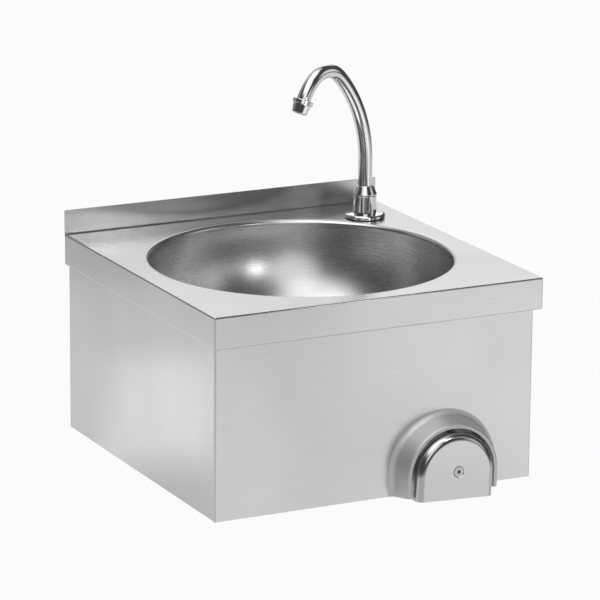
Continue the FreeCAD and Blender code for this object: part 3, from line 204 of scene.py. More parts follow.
def startPlate(name, low, high, turn=(0, 0, 0)):
    # a plane between two opposite corners, in edit mode
    objectMode()
    bpy.ops.object.select_all(action="DESELECT")
    low, high = Vector(low) * mm, Vector(high) * mm
    bpy.ops.mesh.primitive_plane_add(size=1, location=(low + high) / 2, rotation=turn)
    size = Matrix.Rotation(-turn[1], 3, "Y") @ Matrix.Rotation(-turn[0], 3, "X") @ (high - low)
    bpy.context.object.scale = [max(abs(s), mm) for s in size]
    piece = settle(name)
    bpy.ops.object.mode_set(mode="EDIT")
    return piece


def pick(kind, test):
    # selects the vertices, edges or faces all of whose corners pass the test, given in millimetres
    bpy.ops.mesh.select_mode(type=kind)
    bpy.ops.mesh.select_all(action="DESELECT")
    mesh = bmesh.from_edit_mesh(bpy.context.edit_object.data)
    if kind == "VERT":
        chosen = [v for v in mesh.verts if test(v.co / mm)]
    else:
        parts = mesh.edges if kind == "EDGE" else mesh.faces
        chosen = [part for part in parts if all(test(v.co / mm) for v in part.verts)]
    for part in chosen:
        part.select_set(True)
    bmesh.update_edit_mesh(bpy.context.edit_object.data)


def near(a, b, slack=nearby):
    return abs(a - b) < slack


def drag(x=0, y=0, z=0):
    bpy.ops.mesh.extrude_edges_move(TRANSFORM_OT_translate={"value": (x * mm, y * mm, z * mm)})


def foldBy(radius, steps=5):
    bpy.ops.mesh.bevel(offset=radius * mm, segments=steps, affect="EDGES")


def roundCorners(corners, step=7.5):
    # corners (x, y), and (x, y, radius) where the corner is an arc
    points = []
    for i, corner in enumerate(corners):
        here = Vector(corner[:2])
        if len(corner) == 2:
            points.append(here)
            continue
        before = (Vector(corners[i - 1][:2]) - here).normalized()
        after = (Vector(corners[(i + 1) % len(corners)][:2]) - here).normalized()
        turn = math.pi - before.angle(after)
        middle = here + (before + after).normalized() * corner[2] / math.cos(turn / 2)
        start = here + before * corner[2] * math.tan(turn / 2) - middle
        end = here + after * corner[2] * math.tan(turn / 2) - middle
        side = math.copysign(1, start.x * end.y - start.y * end.x)
        steps = max(2, round(math.degrees(turn) / step))
        points += [middle + Matrix.Rotation(side * turn * k / steps, 2) @ start for k in range(steps + 1)]
    return [p for i, p in enumerate(points) if not i or (p - points[i - 1]).length > nearby]


def drawLine(name, points):
    # a single point is drawn out along the line, in edit mode
    objectMode()
    bpy.ops.object.select_all(action="DESELECT")
    bpy.ops.mesh.primitive_plane_add(size=mm, location=points[0])
    piece = settle(name)
    bpy.ops.object.mode_set(mode="EDIT")
    bpy.ops.mesh.select_mode(type="VERT")
    bpy.ops.mesh.select_all(action="SELECT")
    bpy.ops.mesh.merge(type="CENTER")
    for start, end in zip(points, points[1:]):
        bpy.ops.mesh.extrude_vertices_move(TRANSFORM_OT_translate={"value": end - start})
    return piece


def spinLine(name, corners, centre, steps=96, angle=360, axis=up, aside=across, step=7.5):
    # a line of (distance from the axis, place along it) turned about the axis, in edit mode
    centre = Vector(centre) * mm
    piece = drawLine(name, [centre + (aside * p.x + axis * p.y) * mm for p in roundCorners(corners, step)])
    bpy.ops.mesh.select_all(action="SELECT")
    bpy.ops.mesh.spin(steps=steps, angle=math.radians(angle), center=centre, axis=axis)
    mergeDoubles()
    return piece


def mergeDoubles():
    bpy.ops.mesh.select_all(action="SELECT")
    bpy.ops.mesh.remove_doubles(threshold=nearby * mm / 2)
    bpy.ops.mesh.normals_make_consistent(inside=False)


def faceOut(piece, place, way):
    # an open sheet: the face nearest `place` is made to look along `way`, and the rest follow it
    workOn(piece)
    place = Vector(place) * mm
    face = min(piece.data.polygons, key=lambda polygon: (polygon.center - place).length)
    if face.normal.dot(Vector(way)) < 0:
        bpy.ops.object.mode_set(mode="EDIT")
        bpy.ops.mesh.select_all(action="SELECT")
        bpy.ops.mesh.flip_normals()
        objectMode()


def addModifier(piece, kind, **settings):
    workOn(piece)
    modifier = piece.modifiers.new(kind.lower(), kind)
    for name, value in settings.items():
        setattr(modifier, name, value)
    bpy.ops.object.modifier_apply(modifier=modifier.name)


def thicken(piece, wall):
    addModifier(piece, "SOLIDIFY", thickness=wall * mm, offset=-1, use_even_offset=True)


def easeEdges(piece, width, steps=2, angle=50):
    addModifier(piece, "BEVEL", width=width * mm, segments=steps, limit_method="ANGLE",
                angle_limit=math.radians(angle))


def cutWith(piece, cutter):
    addModifier(piece, "BOOLEAN", object=cutter, operation="DIFFERENCE", solver="EXACT")
    bpy.data.objects.remove(cutter)


def finishPiece(piece, body, slot, material, *nodes, angle=28):
    workOn(piece)
    bpy.ops.object.shade_smooth_by_angle(angle=math.radians(angle))
    addModifier(piece, "WEIGHTED_NORMAL", keep_sharp=True)
    piece.data.materials.clear()
    piece.data.materials.append(material)
    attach(piece, body)
    if nodes:
        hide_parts(*nodes)
    print("made", piece.name, len(piece.data.polygons), "faces")
    return piece


# worktop and bowl
worktop = {"half": 200, "front": -400, "back": -1.3, "top": 55, "sheet": 1.2, "apron": 36, "splash": 28,
           "bend": 1.8, "splashBend": 1.6, "returnHalf": 194.4, "returnFront": -389.1,
           "bowlMiddle": (0, -205), "bowlHole": 175, "roll": 5, "neck": 3, "flatRing": 177, "steps": 256,
           "tapMiddle": (150.2, -70), "tapHole": 11.5}


def makeWorktop(size):
    half, front, rear, top = size["half"], size["front"], size["back"], size["top"]
    piece = startPlate("worktopSheet", (-half, front, top), (half, rear, top))
    bpy.ops.mesh.select_all(action="SELECT")
    bpy.ops.mesh.delete(type="ONLY_FACE")
    bpy.ops.mesh.select_all(action="SELECT")
    bpy.ops.mesh.subdivide(number_cuts=size["steps"] // 4 - 1)
    middle = Vector((*size["bowlMiddle"], top)) * mm
    bpy.ops.mesh.primitive_circle_add(vertices=size["steps"], radius=size["flatRing"] * mm, location=middle)
    bpy.ops.mesh.select_all(action="SELECT")
    bpy.ops.mesh.bridge_edge_loops()

    def fromMiddle(p):
        return (p.xy - Vector(size["bowlMiddle"])).length

    # the edge of the hole rolls down into the neck
    pick("EDGE", lambda p: near(fromMiddle(p), size["flatRing"], 0.5))
    hole, roll = size["bowlHole"], size["roll"]
    rings = roundCorners([(hole, 0), (hole - roll, 0, roll), (hole - roll, -roll - size["neck"])], 11.25)
    rings = [Vector((hole, 0))] + [ring for ring in rings if ring.x < hole - nearby or ring.y < -nearby]
    radius, height = size["flatRing"], 0
    for ring in rings:
        drag(z=ring.y - height)
        scale = ring.x / radius
        bpy.ops.transform.resize(value=(scale, scale, 1), center_override=middle)
        radius, height = ring.x, ring.y

    # aprons down the front and sides, turned in below, and the splashback up at the rear
    pick("EDGE", lambda p: near(p.z, top) and (near(abs(p.x), half) or near(p.y, front)))
    drag(z=-size["apron"])
    drag()
    bpy.ops.transform.resize(value=(size["returnHalf"] / half, size["returnFront"] / front, 1),
                             center_override=(0, 0, 0))
    pick("EDGE", lambda p: near(p.y, rear) and near(p.z, top))
    drag(z=size["splash"])
    foot = top - size["apron"]
    pick("EDGE", lambda p: (near(p.z, top) or near(p.z, foot)) and (near(abs(p.x), half) or near(p.y, front)))
    foldBy(size["bend"])
    pick("EDGE", lambda p: near(p.y, rear) and near(p.z, top))
    foldBy(size["splashBend"])
    mergeDoubles()
    faceOut(piece, (0, front + 10, top), up)
    thicken(piece, size["sheet"])
    bpy.ops.mesh.primitive_cylinder_add(vertices=64, radius=size["tapHole"] * mm, depth=10 * mm,
                                        location=Vector((*size["tapMiddle"], top)) * mm)
    cutWith(piece, settle("tapHoleCutter"))
    easeEdges(piece, 0.25)
    return finishPiece(piece, "basin", "satin_stainless", steelAlongX, "worktop")


makeWorktop(worktop)

bowl = {"middle": (0, -205, 55), "radius": 170, "rim": -8, "floor": -145, "curve": 133, "recess": 37,
        "recessFloor": -149, "drain": 21.5, "sheet": 1.0, "steps": 192}


def makeBowl(size):
    # the pressed shape: a short straight wall, a deep round curve and a sunk seat for the waste
    corners = [(size["radius"], size["rim"]), (size["radius"], size["floor"], size["curve"]),
               (size["recess"], size["floor"], 0.01), (size["recess"], size["recessFloor"], 1),
               (size["drain"], size["recessFloor"])]
    piece = spinLine("bowlShell", corners, size["middle"], size["steps"], step=2.5)
    faceOut(piece, Vector(size["middle"]) + up * size["recessFloor"], up)
    thicken(piece, size["sheet"])
    easeEdges(piece, 0.2)
    return finishPiece(piece, "basin", "satin_stainless", bowlSteel, "bowl")


makeBowl(bowl)


# casing
casing = {"half": 194.4, "front": -389.1, "top": 53.8, "foot": -175.7, "sheet": 1.2, "corner": 3,
          "cornerBend": 2, "joggle": 1.3, "tab": 13.2, "sideRear": -0.5, "return": 16.2,
          "returnFront": -370.7, "returnRear": -22, "fold": 1.2}
arch = {"middle": (82.5, -389.1, -150), "foot": 66.7, "leg": 25.7, "steps": 96}


def archCutter(name, radius):
    # a D-shaped block: a disc's upper half drawn down past the panel's foot
    middle = Vector(arch["middle"]) * mm
    objectMode()
    bpy.ops.object.select_all(action="DESELECT")
    bpy.ops.mesh.primitive_cylinder_add(vertices=2 * arch["steps"], radius=radius * mm, depth=10 * mm,
                                        location=middle, rotation=(math.pi / 2, math.pi / 2, 0))
    cutter = settle(name)
    bpy.ops.object.mode_set(mode="EDIT")
    pick("VERT", lambda p: p.z < arch["middle"][2] - nearby)
    bpy.ops.transform.translate(value=(0, 0, -2 * radius * mm))
    objectMode()
    return cutter


def makeFrontPanel(size):
    half, front = size["half"], size["front"]
    piece = startPlate("frontPanelSheet", (-half, front, size["foot"]), (half, front, size["top"]),
                       (math.pi / 2, 0, 0))
    # each end folds round the corner, steps in by the sheet and ends in a tab behind the side panel
    for side in (-1, 1):
        pick("EDGE", lambda p: near(p.x, side * half) and near(p.y, front))
        drag(y=size["corner"])
        drag(x=-side * size["joggle"])
        drag(y=size["tab"])
    pick("EDGE", lambda p: near(abs(p.x), half) and near(p.y, front))
    foldBy(size["cornerBend"], 8)
    mergeDoubles()
    faceOut(piece, (0, front, 0), -back)
    thicken(piece, size["sheet"])
    cutWith(piece, archCutter("archCutter", arch["foot"]))
    easeEdges(piece, 0.15)
    return finishPiece(piece, "basin", "satin_stainless", steelAlongX, "front_panel")


def makeSidePanel(size, name, side, node):
    half, front = side * size["half"], size["front"] + size["corner"]
    piece = startPlate(name, (half, front, size["foot"]), (half, size["sideRear"], size["top"]),
                       (0, math.pi / 2, 0))
    # the foot turns in, and its corners are cut back where the front panel and the rear rail stand
    pick("EDGE", lambda p: near(p.z, size["foot"]))
    drag(x=-side * size["return"])
    pick("VERT", lambda p: near(p.z, size["foot"]) and not near(p.x, half) and p.y < -200)
    bpy.ops.transform.translate(value=(0, (size["returnFront"] - front) * mm, 0))
    pick("VERT", lambda p: near(p.z, size["foot"]) and not near(p.x, half) and p.y > -200)
    bpy.ops.transform.translate(value=(0, (size["returnRear"] - size["sideRear"]) * mm, 0))
    pick("EDGE", lambda p: near(p.z, size["foot"]) and near(p.x, half))
    foldBy(size["fold"])
    mergeDoubles()
    faceOut(piece, (half, -200, 0), side * across)
    thicken(piece, size["sheet"])
    easeEdges(piece, 0.3)
    return finishPiece(piece, "basin", "satin_stainless", steelAlongY, node)


makeFrontPanel(casing)
makeSidePanel(casing, "leftSideSheet", -1, "left_side_panel")
makeSidePanel(casing, "rightSideSheet", 1, "right_side_panel")


# knee housing and button
housing = {"root": 61, "rim": 55.2, "depth": 27, "rootFillet": 7, "edge": 2.4, "opening": 50.8, "lipRound": 1,
           "lip": 6, "sheet": 1.2, "bottomRise": 3.6}


def makeHousing(size):
    # pressed surround: the wall's section turned over the arch and run straight down both legs
    corners = [(arch["foot"], 0), (size["root"], 0, size["rootFillet"]),
               (size["rim"], -size["depth"], size["edge"]),
               (size["opening"], -size["depth"], size["lipRound"]),
               (size["opening"], size["lip"] - size["depth"])]
    piece = spinLine("kneeSurround", corners, arch["middle"], arch["steps"], 180, axis=back)
    legTop, legFoot = arch["middle"][2], arch["middle"][2] - arch["leg"]
    pick("EDGE", lambda p: near(p.z, legTop))
    drag(z=-arch["leg"])
    bpy.ops.mesh.select_all(action="SELECT")
    slope = Vector((0, size["bottomRise"], size["depth"])).normalized()
    bpy.ops.mesh.bisect(plane_co=Vector((arch["middle"][0], arch["middle"][1], legFoot)) * mm, plane_no=slope,
                        clear_inner=True)
    mergeDoubles()
    crown = arch["middle"][2] + size["opening"] + 4
    faceOut(piece, (arch["middle"][0], arch["middle"][1] - size["depth"], crown), -back)
    thicken(piece, size["sheet"])
    easeEdges(piece, 0.15)
    return finishPiece(piece, "basin", "satin_stainless", lightenedHousingSteel, "knee_housing")


button = {"radius": 47.2, "leg": 26.9, "face": -425.6, "depth": 24, "edge": 8, "wall": 1.6, "turn": 2.5,
          "rod": (84, -425.6, -145.7), "boss": 10, "bossEnd": 12.6, "rodBore": 5.05, "rodStop": 3,
          "screwSink": 7.7, "screwBore": 3.1, "headDepth": 3, "lap": 0.2}


def makeButton(size):
    # a deep cap: the half section turned over the arch, run down both legs and closed below
    middle = (arch["middle"][0], size["face"], arch["middle"][2])
    corners = [(0, 0), (size["radius"], 0, size["edge"]), (size["radius"], size["depth"])]
    piece = spinLine("kneeCap", corners, middle, arch["steps"], 180, axis=back, step=6)
    pick("EDGE", lambda p: near(p.z, middle[2]))
    drag(z=-size["leg"])
    foot = middle[2] - size["leg"]
    pick("VERT", lambda p: near(p.z, foot))
    bpy.ops.mesh.edge_face_add()
    mergeDoubles()
    faceOut(piece, (middle[0], size["face"], middle[2] + 10), -back)
    thicken(piece, size["wall"])
    easeEdges(piece, 0.25, angle=40)
    # the countersunk hole for the screw, and the boss behind it that holds the rod
    rod = Vector(size["rod"])
    sink = spinLine("screwSink", [(0, -1), (size["screwSink"], -1), (size["screwBore"], size["headDepth"]),
                                  (size["screwBore"], 20), (0, 20)], rod, 48, axis=back)
    cutWith(piece, sink)
    bossFoot = size["wall"] - size["lap"]
    boss = spinLine("rodBoss", [(size["rodBore"], size["bossEnd"]), (size["boss"], size["bossEnd"]),
                                (size["boss"], bossFoot), (size["screwBore"], bossFoot),
                                (size["screwBore"], size["rodStop"]), (size["rodBore"], size["rodStop"]),
                                (size["rodBore"], size["bossEnd"])], rod, 48, axis=back)
    workOn(piece)
    boss.select_set(True)
    bpy.ops.object.join()
    bpy.ops.object.mode_set(mode="EDIT")
    bpy.ops.mesh.select_all(action="SELECT")
    bpy.ops.transform.rotate(value=-math.radians(size["turn"]), orient_axis="Y", center_override=rod * mm)
    objectMode()
    return finishPiece(piece, "knee_push", "satin_stainless", buttonSteel, "knee_button")


archMiddle = Vector(arch["middle"]) * mm
# painted highlight: the housing's steel is coloured lighter than the same sheet elsewhere, so the pressed
# surround renders brighter
lightenedHousingSteel = spunSteel("pressedSteelHousingLightened", archMiddle, "#DCDCDD", (0.54, 0.60), math.pi / 2)
buttonSteel = spunSteel("polishedSteelButton", archMiddle, "#C4C4C5", (0.16, 0.20), math.pi / 2)
makeHousing(housing)
makeButton(button)


# tap: its foot's radii, and their heights over the worktop
tap = {"middle": (150.2, -70, 55), "steps": 96, "gap": 0.1, "foot": 1,
       "flange": 23.7, "flangeTop": 5.2, "flangeEdge": 2.8,
       "body": 13.5, "top": 26.5, "bodyBore": 12.05, "nutSeat": 19.8, "sealBore": 10.6, "sealFloor": 10,
       "waterway": 6, "shankBore": 10.05, "shankEnd": 8,
       "nutFoot": 20, "belt": 13.8, "beltFoot": 27.3, "beltTop": 28.4, "cone": 9.3, "coneTop": 38, "bore": 8.3}


def makeTapFoot(size):
    foot, top, body = size["foot"], size["top"], size["body"]
    around, nutFit = body + size["gap"], size["bodyBore"] - size["gap"]
    sections = {
        "tapFlangeCap": [(around, foot), (size["flange"], foot, 0.3),
                         (size["flange"], size["flangeTop"], size["flangeEdge"]),
                         (around, size["flangeTop"] + 1), (around, foot)],
        "tapPillar": [(size["shankBore"], foot), (body, foot), (body, top, 0.5), (size["bodyBore"], top),
                      (size["bodyBore"], size["nutSeat"]), (size["sealBore"], size["nutSeat"]),
                      (size["sealBore"], size["sealFloor"]), (size["waterway"], size["sealFloor"]),
                      (size["waterway"], size["shankEnd"]), (size["shankBore"], size["shankEnd"]),
                      (size["shankBore"], foot)],
        "spoutCapNut": [(size["bore"], size["nutFoot"]), (nutFit, size["nutFoot"]),
                        (nutFit, top + size["gap"]), (body, top + size["gap"], 0.3),
                        (size["belt"], size["beltFoot"], 0.3), (size["belt"], size["beltTop"], 1),
                        (size["cone"], size["coneTop"], 0.8), (size["bore"], size["coneTop"]),
                        (size["bore"], size["nutFoot"])]}
    nodes = {"tapFlangeCap": "tap_flange", "tapPillar": "tap_body", "spoutCapNut": "spout_nut"}
    for name, section in sections.items():
        piece = spinLine(name, section, size["middle"], size["steps"])
        finishPiece(piece, "basin", "chromed_brass", chrome, nodes[name])


# the swan neck: a straight riser and three tangent bends, each a radius and the degrees it turns
swanNeck = {"foot": 10.2, "outer": 8.2, "wall": 1.4, "riser": 67.6, "swing": 15,
            "bends": ((151.3, 43.8), (28.1, 87.3), (62.2, 25.3)), "tail": 6, "around": 64, "step": 3}


def drawTube(name, start, way, aside, around, radius, moves, step):
    # a ring drawn along straight runs (a length) and round bends (a radius, degrees); `aside` points to
    # the middle of a bend. Gives the piece and the place and way at its far end.
    objectMode()
    bpy.ops.object.select_all(action="DESELECT")
    bpy.ops.mesh.primitive_circle_add(vertices=around, radius=radius * mm, location=start,
                                      rotation=up.rotation_difference(way).to_euler())
    piece = settle(name)
    bpy.ops.object.mode_set(mode="EDIT")
    bpy.ops.mesh.select_all(action="SELECT")
    place = start.copy()
    for move in moves:
        if len(move) == 1:
            drag(*(way * move[0]))
            place += way * move[0] * mm
        else:
            axis = way.cross(aside)
            centre = place + aside * move[0] * mm
            turn = Matrix.Rotation(math.radians(move[1]), 3, axis)
            bpy.ops.mesh.spin(steps=round(move[1] / step), angle=-math.radians(move[1]), center=centre,
                              axis=axis)
            place, way, aside = centre + turn @ (place - centre), turn @ way, turn @ aside
    return piece, place, way


def makeSpout(size):
    middle = Vector(tap["middle"]) * mm
    aside = Matrix.Rotation(math.radians(size["swing"]), 3, "Z") @ -across
    moves = [(size["riser"] - size["foot"],), *size["bends"], (size["tail"],)]
    piece, mouth, way = drawTube("swanNeckTube", middle + up * size["foot"] * mm, up, aside, size["around"],
                                 size["outer"], moves, size["step"])
    mergeDoubles()
    faceOut(piece, middle / mm - aside * size["outer"], -aside)
    thicken(piece, size["wall"])
    easeEdges(piece, 0.2)
    finishPiece(piece, "spout_arm", "chromed_brass", chrome, "spout")
    return mouth - way * size["tail"] * mm, way


aerator = {"bore": 8.3, "ring": 12, "ringEnd": 5, "skirt": 10.4, "skirtFoot": 5.6, "mouth": 8.8, "end": 16,
           "lip": 6.9, "lipDepth": 1.4, "steps": 96}


def makeAerator(size, start, way):
    # a screwed sleeve: a ring over a tapered skirt, which turns in below to hold the insert
    lipTop = size["end"] - size["lipDepth"]
    section = [(size["bore"], 0), (size["ring"], 0, 0.8), (size["ring"], size["ringEnd"], 0.6),
               (size["skirt"], size["ringEnd"]), (size["skirt"], size["skirtFoot"] - 0.1),
               (size["skirt"] - 0.2, size["skirtFoot"]), (size["mouth"], size["end"], 0.8),
               (size["lip"], size["end"]), (size["lip"], lipTop), (size["bore"], lipTop), (size["bore"], 0)]
    piece = spinLine("aeratorSleeve", section, start / mm, size["steps"], axis=way,
                     aside=way.cross(across).normalized())
    finishPiece(piece, "spout_arm", "chromed_brass", chrome, "aerator_shell")


def chromePlate():
    # bright chrome on brass: a near mirror that turns the studio into hard dark and white bands
    material, tree, shader, place = startMaterial("chromePlate", "#E4E5E6", 1.0, 0.03)
    haze = addPattern(tree, place, (1, 1, 1), 9, 2.0)
    varyRoughness(tree, shader, haze, 0.02, 0.05)
    addRelief(tree, shader, haze, 0.0015)
    return material


chrome = chromePlate()
makeTapFoot(tap)
spoutMouth, spoutWay = makeSpout(swanNeck)
makeAerator(aerator, spoutMouth, spoutWay)


# what the casing hides: the button's spring and the hose to the tap
# pressed is the share of its length that is left at the end of the button's travel
spring = {"rod": (84, -389.1, -145.7), "radius": 8.2, "wire": 1.5, "turns": 7, "stepsPerTurn": 32,
          "front": -21.65, "rear": 7.25, "fixedEnd": -381.1, "pressed": 0.671}


def makeSpring(size):
    # a ring of wire screwed round the rod
    rod = Vector(size["rod"]) * mm
    objectMode()
    bpy.ops.object.select_all(action="DESELECT")
    bpy.ops.mesh.primitive_circle_add(vertices=12, radius=size["wire"] / 2 * mm,
                                      location=rod + Vector((size["radius"], size["front"], 0)) * mm)
    piece = settle("buttonSpring")
    bpy.ops.object.mode_set(mode="EDIT")
    bpy.ops.mesh.select_all(action="SELECT")
    steps = size["turns"] * size["stepsPerTurn"]
    climb = (size["rear"] - size["front"]) / steps
    for step in range(steps):
        drag(y=climb)
        bpy.ops.transform.rotate(value=2 * math.pi / size["stepsPerTurn"], orient_axis="Y",
                                 center_override=rod)
    bpy.ops.mesh.edge_face_add()
    pick("EDGE", lambda p: near(p.y, size["rod"][1] + size["front"], 0.001))
    bpy.ops.mesh.edge_face_add()
    mergeDoubles()
    objectMode()
    finishPiece(piece, "basin", "stainless_hardware", springWire, "return_spring", angle=60)
    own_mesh(piece)


# the route's corners are those of the solid hose, from the valve's elbow to the tap's shank
hose = {"route": ((84, -323.9, -108), (84, -200, -108), (150.2, -70, -108), (150.2, -70, 10)), "across": 10,
        "length": 0.351}


def makeHose(size):
    curve = bpy.data.curves.new("braidedHose", "CURVE")
    curve.dimensions = "3D"
    curve.bevel_depth = size["across"] / 2 * mm
    curve.bevel_resolution = 8
    curve.resolution_u = 24
    curve.use_fill_caps = True
    line = curve.splines.new("NURBS")
    line.points.add(len(size["route"]) - 1)
    for point, corner in zip(line.points, size["route"]):
        point.co = (*(Vector(corner) * mm), 1)
    line.order_u = 3
    line.use_endpoint_u = True
    piece = bpy.data.objects.new("braidedHose", curve)
    bpy.context.scene.collection.objects.link(piece)
    curve.materials.append(hoseBraid)
    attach(piece, "basin")
    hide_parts("tap_hose")
    print("made", piece.name)


screw = {"head": 6, "cone": 3, "shank": 3, "length": 18, "socket": 4.4, "socketDepth": 5}


def makeScrew(size):
    # a countersunk screw: a hexagon block cuts its socket
    rod = Vector(button["rod"])
    section = [(0, 0), (size["head"], 0, 0.2), (size["shank"], size["cone"]), (size["shank"], size["length"]),
               (0, size["length"])]
    piece = spinLine("socketScrew", section, rod, 64, axis=back)
    objectMode()
    bpy.ops.object.select_all(action="DESELECT")
    bpy.ops.mesh.primitive_cylinder_add(vertices=6, radius=size["socket"] / math.sqrt(3) * mm,
                                        depth=2 * size["socketDepth"] * mm, location=rod * mm,
                                        rotation=(math.pi / 2, 0, 0))
    cutWith(piece, settle("socketCutter"))
    finishPiece(piece, "knee_push", "stainless_hardware", turnedSteel, "button_screw", angle=35)


def turnedMetal(name, colour, dark, light, rough, grain, relief):
    # bar turned or sheet punched: an even satin gloss with fine marks, drawn coarse enough to show
    material, tree, shader, place = startMaterial(name, colour, 1.0, rough[0])
    marks = addPattern(tree, place, (1, 1, 1), grain, 3.0)
    varyRoughness(tree, shader, marks, *rough)
    varyColour(tree, shader, marks, dark, light)
    addRelief(tree, shader, marks, relief)
    return material


def rubber():
    # moulded EPDM: near black, dull, with a faint bloom that greys it in patches
    material, tree, shader, place = startMaterial("mouldedRubber", "#1B1B1C", 0.0, 0.7)
    bloom = addPattern(tree, place, (1, 1, 1), 3)
    varyRoughness(tree, shader, bloom, 0.62, 0.8)
    varyColour(tree, shader, bloom, "#161617", "#232324")
    addRelief(tree, shader, addPattern(tree, place, (1, 1, 1), 0.4), 0.02)
    return material


def acetal():
    # moulded acetal: milky white with a soft wax-like gloss
    material, tree, shader, place = startMaterial("mouldedAcetal", "#E2E1DC", 0.0, 0.35,
                                                  Subsurface_Weight=0.08, Subsurface_Scale=0.001)
    flow = addPattern(tree, place, (1, 1, 3), 2)
    varyRoughness(tree, shader, flow, 0.3, 0.42)
    varyColour(tree, shader, flow, "#DEDDD7", "#E7E6E2")
    addRelief(tree, shader, flow, 0.01)
    return material


braidRibs = {"slant": 40, "tilt": 28.65, "turn": 35, "spacing": 13.82, "wander": 0.4}


def braid(size):
    # stainless wire braided round the hose: two slanted sets of ribs that cross, drawn 14 mm apart, much
    # coarser than the real 2 mm. Blender's wave has 20 radians to a unit of its scale.
    material, tree, shader, place = startMaterial("stainlessBraid", "#BEBEBC", 1.0, 0.3)
    scale = math.tau / 20 / (size["spacing"] * mm)
    ribs = []
    for slant in (size["slant"], -size["slant"]):
        turn = [math.radians(a) for a in (slant, size["tilt"], size["turn"])]
        turned = addNode(tree, "ShaderNodeMapping", {"Rotation": turn}, {"Vector": place})
        wave = addNode(tree, "ShaderNodeTexWave", {"Scale": scale, "Distortion": size["wander"]},
                       {"Vector": turned.outputs["Vector"]})
        ribs.append(wave.outputs["Fac"])
    crossed = addNode(tree, "ShaderNodeMath", {"operation": "MAXIMUM"}, {0: ribs[0], 1: ribs[1]})
    varyRoughness(tree, shader, crossed.outputs["Value"], 0.45, 0.25)
    varyColour(tree, shader, crossed.outputs["Value"], "#5A5A58", "#C6C6C4")
    addRelief(tree, shader, crossed.outputs["Value"], 0.3)
    return material


turnedSteel = turnedMetal("turnedStainless", "#C4C4C2", "#B9B9B7", "#CBCBC9", (0.2, 0.32), 1.2, 0.003)
springWire = turnedMetal("drawnSpringWire", "#BDBDBB", "#ACACAA", "#C6C6C4", (0.22, 0.34), 0.8, 0.004)
castBrass = turnedMetal("hotStampedBrass", "#C9A560", "#B8924E", "#D0AE6C", (0.3, 0.45), 1.6, 0.02)
turnedBrass = turnedMetal("turnedBrass", "#D2AE63", "#C49F55", "#DBB970", (0.16, 0.28), 0.6, 0.003)
blackRubber = rubber()
whiteAcetal = acetal()
hoseBraid = braid(braidRibs)

# each solid that the scene keeps, by the finish that its slot names
slotFinish = {"satin_stainless": steelAlongX, "stainless_hardware": turnedSteel, "chromed_brass": chrome,
              "brass": turnedBrass, "black_rubber": blackRubber, "white_plastic": whiteAcetal,
              "hose_braid": hoseBraid}
castNodes = ("valve_body", "outlet_elbow")


def dressNodes():
    # the slots are known by the record's names, which Blender may number
    for name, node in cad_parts.items():
        for place in node.material_slots:
            finish = slotFinish[place.material.name.split(".")[0]]
            place.material = castBrass if name in castNodes else finish


makeSpring(spring)
makeScrew(screw)
makeHose(hose)
dressNodes()
print("hidden pieces made")

# the studio: a white floor far below, a low even world with soft glows, and small soft lamps.
# A glow is (azimuth from the back towards the right, elevation, full half-width, outer half-width, strength),
# and a lamp is (name, place, what it faces, its width and height, watts).
studio = {"floor": -900, "floorSize": 30, "lift": 0.9, "level": 0.07,
          "glows": ((-130, 62, 20, 34, 1.35),  # high on the left: the white band down the spout
                    (-98, 66, 10, 24, 1.0),
                    (-60, 78, 15, 32, 0.8),
                    (-160, 27, 11, 23, 1.05),  # in front: the bowl's far wall
                    (12, 14, 17, 29, 0.76),  # behind: the worktop's shine
                    (32, 36, 8, 24, 0.8),
                    (-15, 45, 6, 24, 0.4),
                    (-40, 22, 8, 28, 0.25),
                    (0, -90, 74, 84, 0.68),  # the pale ground, which the casing's sides show
                    (150, -16, 10, 22, 0.28),
                    (-85, -15, 12, 24, 0.2),
                    (125, 14, 8, 20, 0.7)),
          "lamps": (("patchSoftbox", (-375, 109, -204), (-194, -282, -75), (120, 120), 0.016),
                    ("leftSoftbox", (-372, 190, -190), (-194, -200, -90), (380, 240), 0.035),
                    ("rightSoftbox", (460, -976, -187), (128, -389, 0), (400, 300), 0.06),
                    ("splashSoftbox", (150, -720, 268), (-150, -40, 60), (110, 70), 0.22),
                    ("frontSoftbox", (390, -750, 245), (0, -20, 65), (220, 80), 0.05))}


def compass(azimuth, elevation):
    azimuth, elevation = math.radians(azimuth), math.radians(elevation)
    return Vector((math.sin(azimuth) * math.cos(elevation), math.cos(azimuth) * math.cos(elevation),
                   math.sin(elevation)))


def whiteToCamera(tree, lift):
    # the white background of the photograph, with a little of the real surface left so that shadows show
    path = tree.nodes.new("ShaderNodeLightPath")
    share = addNode(tree, "ShaderNodeMath", {"operation": "MULTIPLY", 1: lift},
                    {0: path.outputs["Is Camera Ray"]})
    return share.outputs["Value"], path


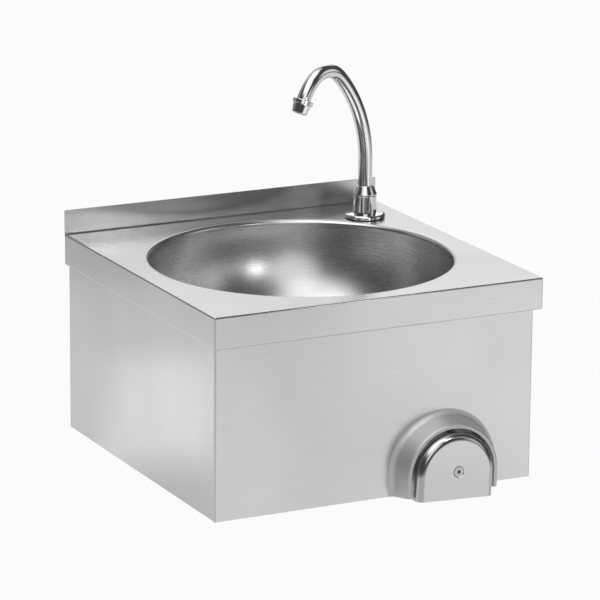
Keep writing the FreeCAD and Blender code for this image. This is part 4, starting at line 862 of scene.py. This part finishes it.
def makeFloor(size):
    objectMode()
    bpy.ops.object.select_all(action="DESELECT")
    bpy.ops.mesh.primitive_plane_add(size=size["floorSize"], location=(0, 0, size["floor"] * mm))
    floor = settle("paleFloor")
    material, tree, shader, place = startMaterial("paleFloorPaint", "#F2F2F0", 0.0, 0.6)
    share, path = whiteToCamera(tree, size["lift"])
    white = addNode(tree, "ShaderNodeEmission", {"Color": (1, 1, 1, 1), "Strength": 1.0}, {})
    seen = addNode(tree, "ShaderNodeMixShader", {}, {0: share, 1: shader.outputs["BSDF"],
                                                     2: white.outputs["Emission"]})
    # reflections look through it to the pale ground that the world paints below the horizon
    clear = tree.nodes.new("ShaderNodeBsdfTransparent")
    both = addNode(tree, "ShaderNodeMixShader", {}, {0: path.outputs["Is Glossy Ray"],
                                                     1: seen.outputs["Shader"], 2: clear.outputs["BSDF"]})
    tree.links.new(both.outputs["Shader"], tree.nodes["Material Output"].inputs["Surface"])
    floor.data.materials.append(material)


def makeWorld(size):
    world = bpy.data.worlds.new("softStudio")
    bpy.context.scene.world = world
    world.use_nodes = True
    tree = world.node_tree
    way = tree.nodes.new("ShaderNodeTexCoord").outputs["Generated"]
    total = addNode(tree, "ShaderNodeValue", {}, {}).outputs["Value"]
    total.default_value = size["level"]
    for azimuth, elevation, full, outer, strength in size["glows"]:
        along = addNode(tree, "ShaderNodeVectorMath",
                        {"operation": "DOT_PRODUCT", 1: compass(azimuth, elevation)}, {0: way})
        glow = addNode(tree, "ShaderNodeMapRange",
                       {"interpolation_type": "SMOOTHSTEP", "From Min": math.cos(math.radians(outer)),
                        "From Max": math.cos(math.radians(full)), "To Min": 0, "To Max": strength},
                       {"Value": along.outputs["Value"]})
        total = addNode(tree, "ShaderNodeMath", {"operation": "ADD"},
                        {0: total, 1: glow.outputs["Result"]}).outputs["Value"]
    path = tree.nodes.new("ShaderNodeLightPath")
    strength = addNode(tree, "ShaderNodeMix", {"data_type": "FLOAT", 3: 1.0},
                       {0: path.outputs["Is Camera Ray"], 2: total})
    background = tree.nodes["Background"]
    background.inputs["Color"].default_value = (1, 1, 1, 1)
    tree.links.new(strength.outputs[0], background.inputs["Strength"])


def makeLamps(size):
    for name, place, target, extent, watts in size["lamps"]:
        place, target = Vector(place) * mm, Vector(target) * mm
        bpy.ops.object.light_add(type="AREA", location=place,
                                 rotation=(target - place).to_track_quat("-Z", "Y").to_euler())
        lamp = bpy.context.object
        lamp.name = name
        lamp.data.shape = "RECTANGLE"
        lamp.data.size = extent[0] * mm
        lamp.data.size_y = extent[1] * mm
        lamp.data.energy = watts
        lamp.visible_camera = False


bpy.context.scene.view_settings.view_transform = "Standard"
makeFloor(studio)
makeWorld(studio)
makeLamps(studio)
print("studio made")
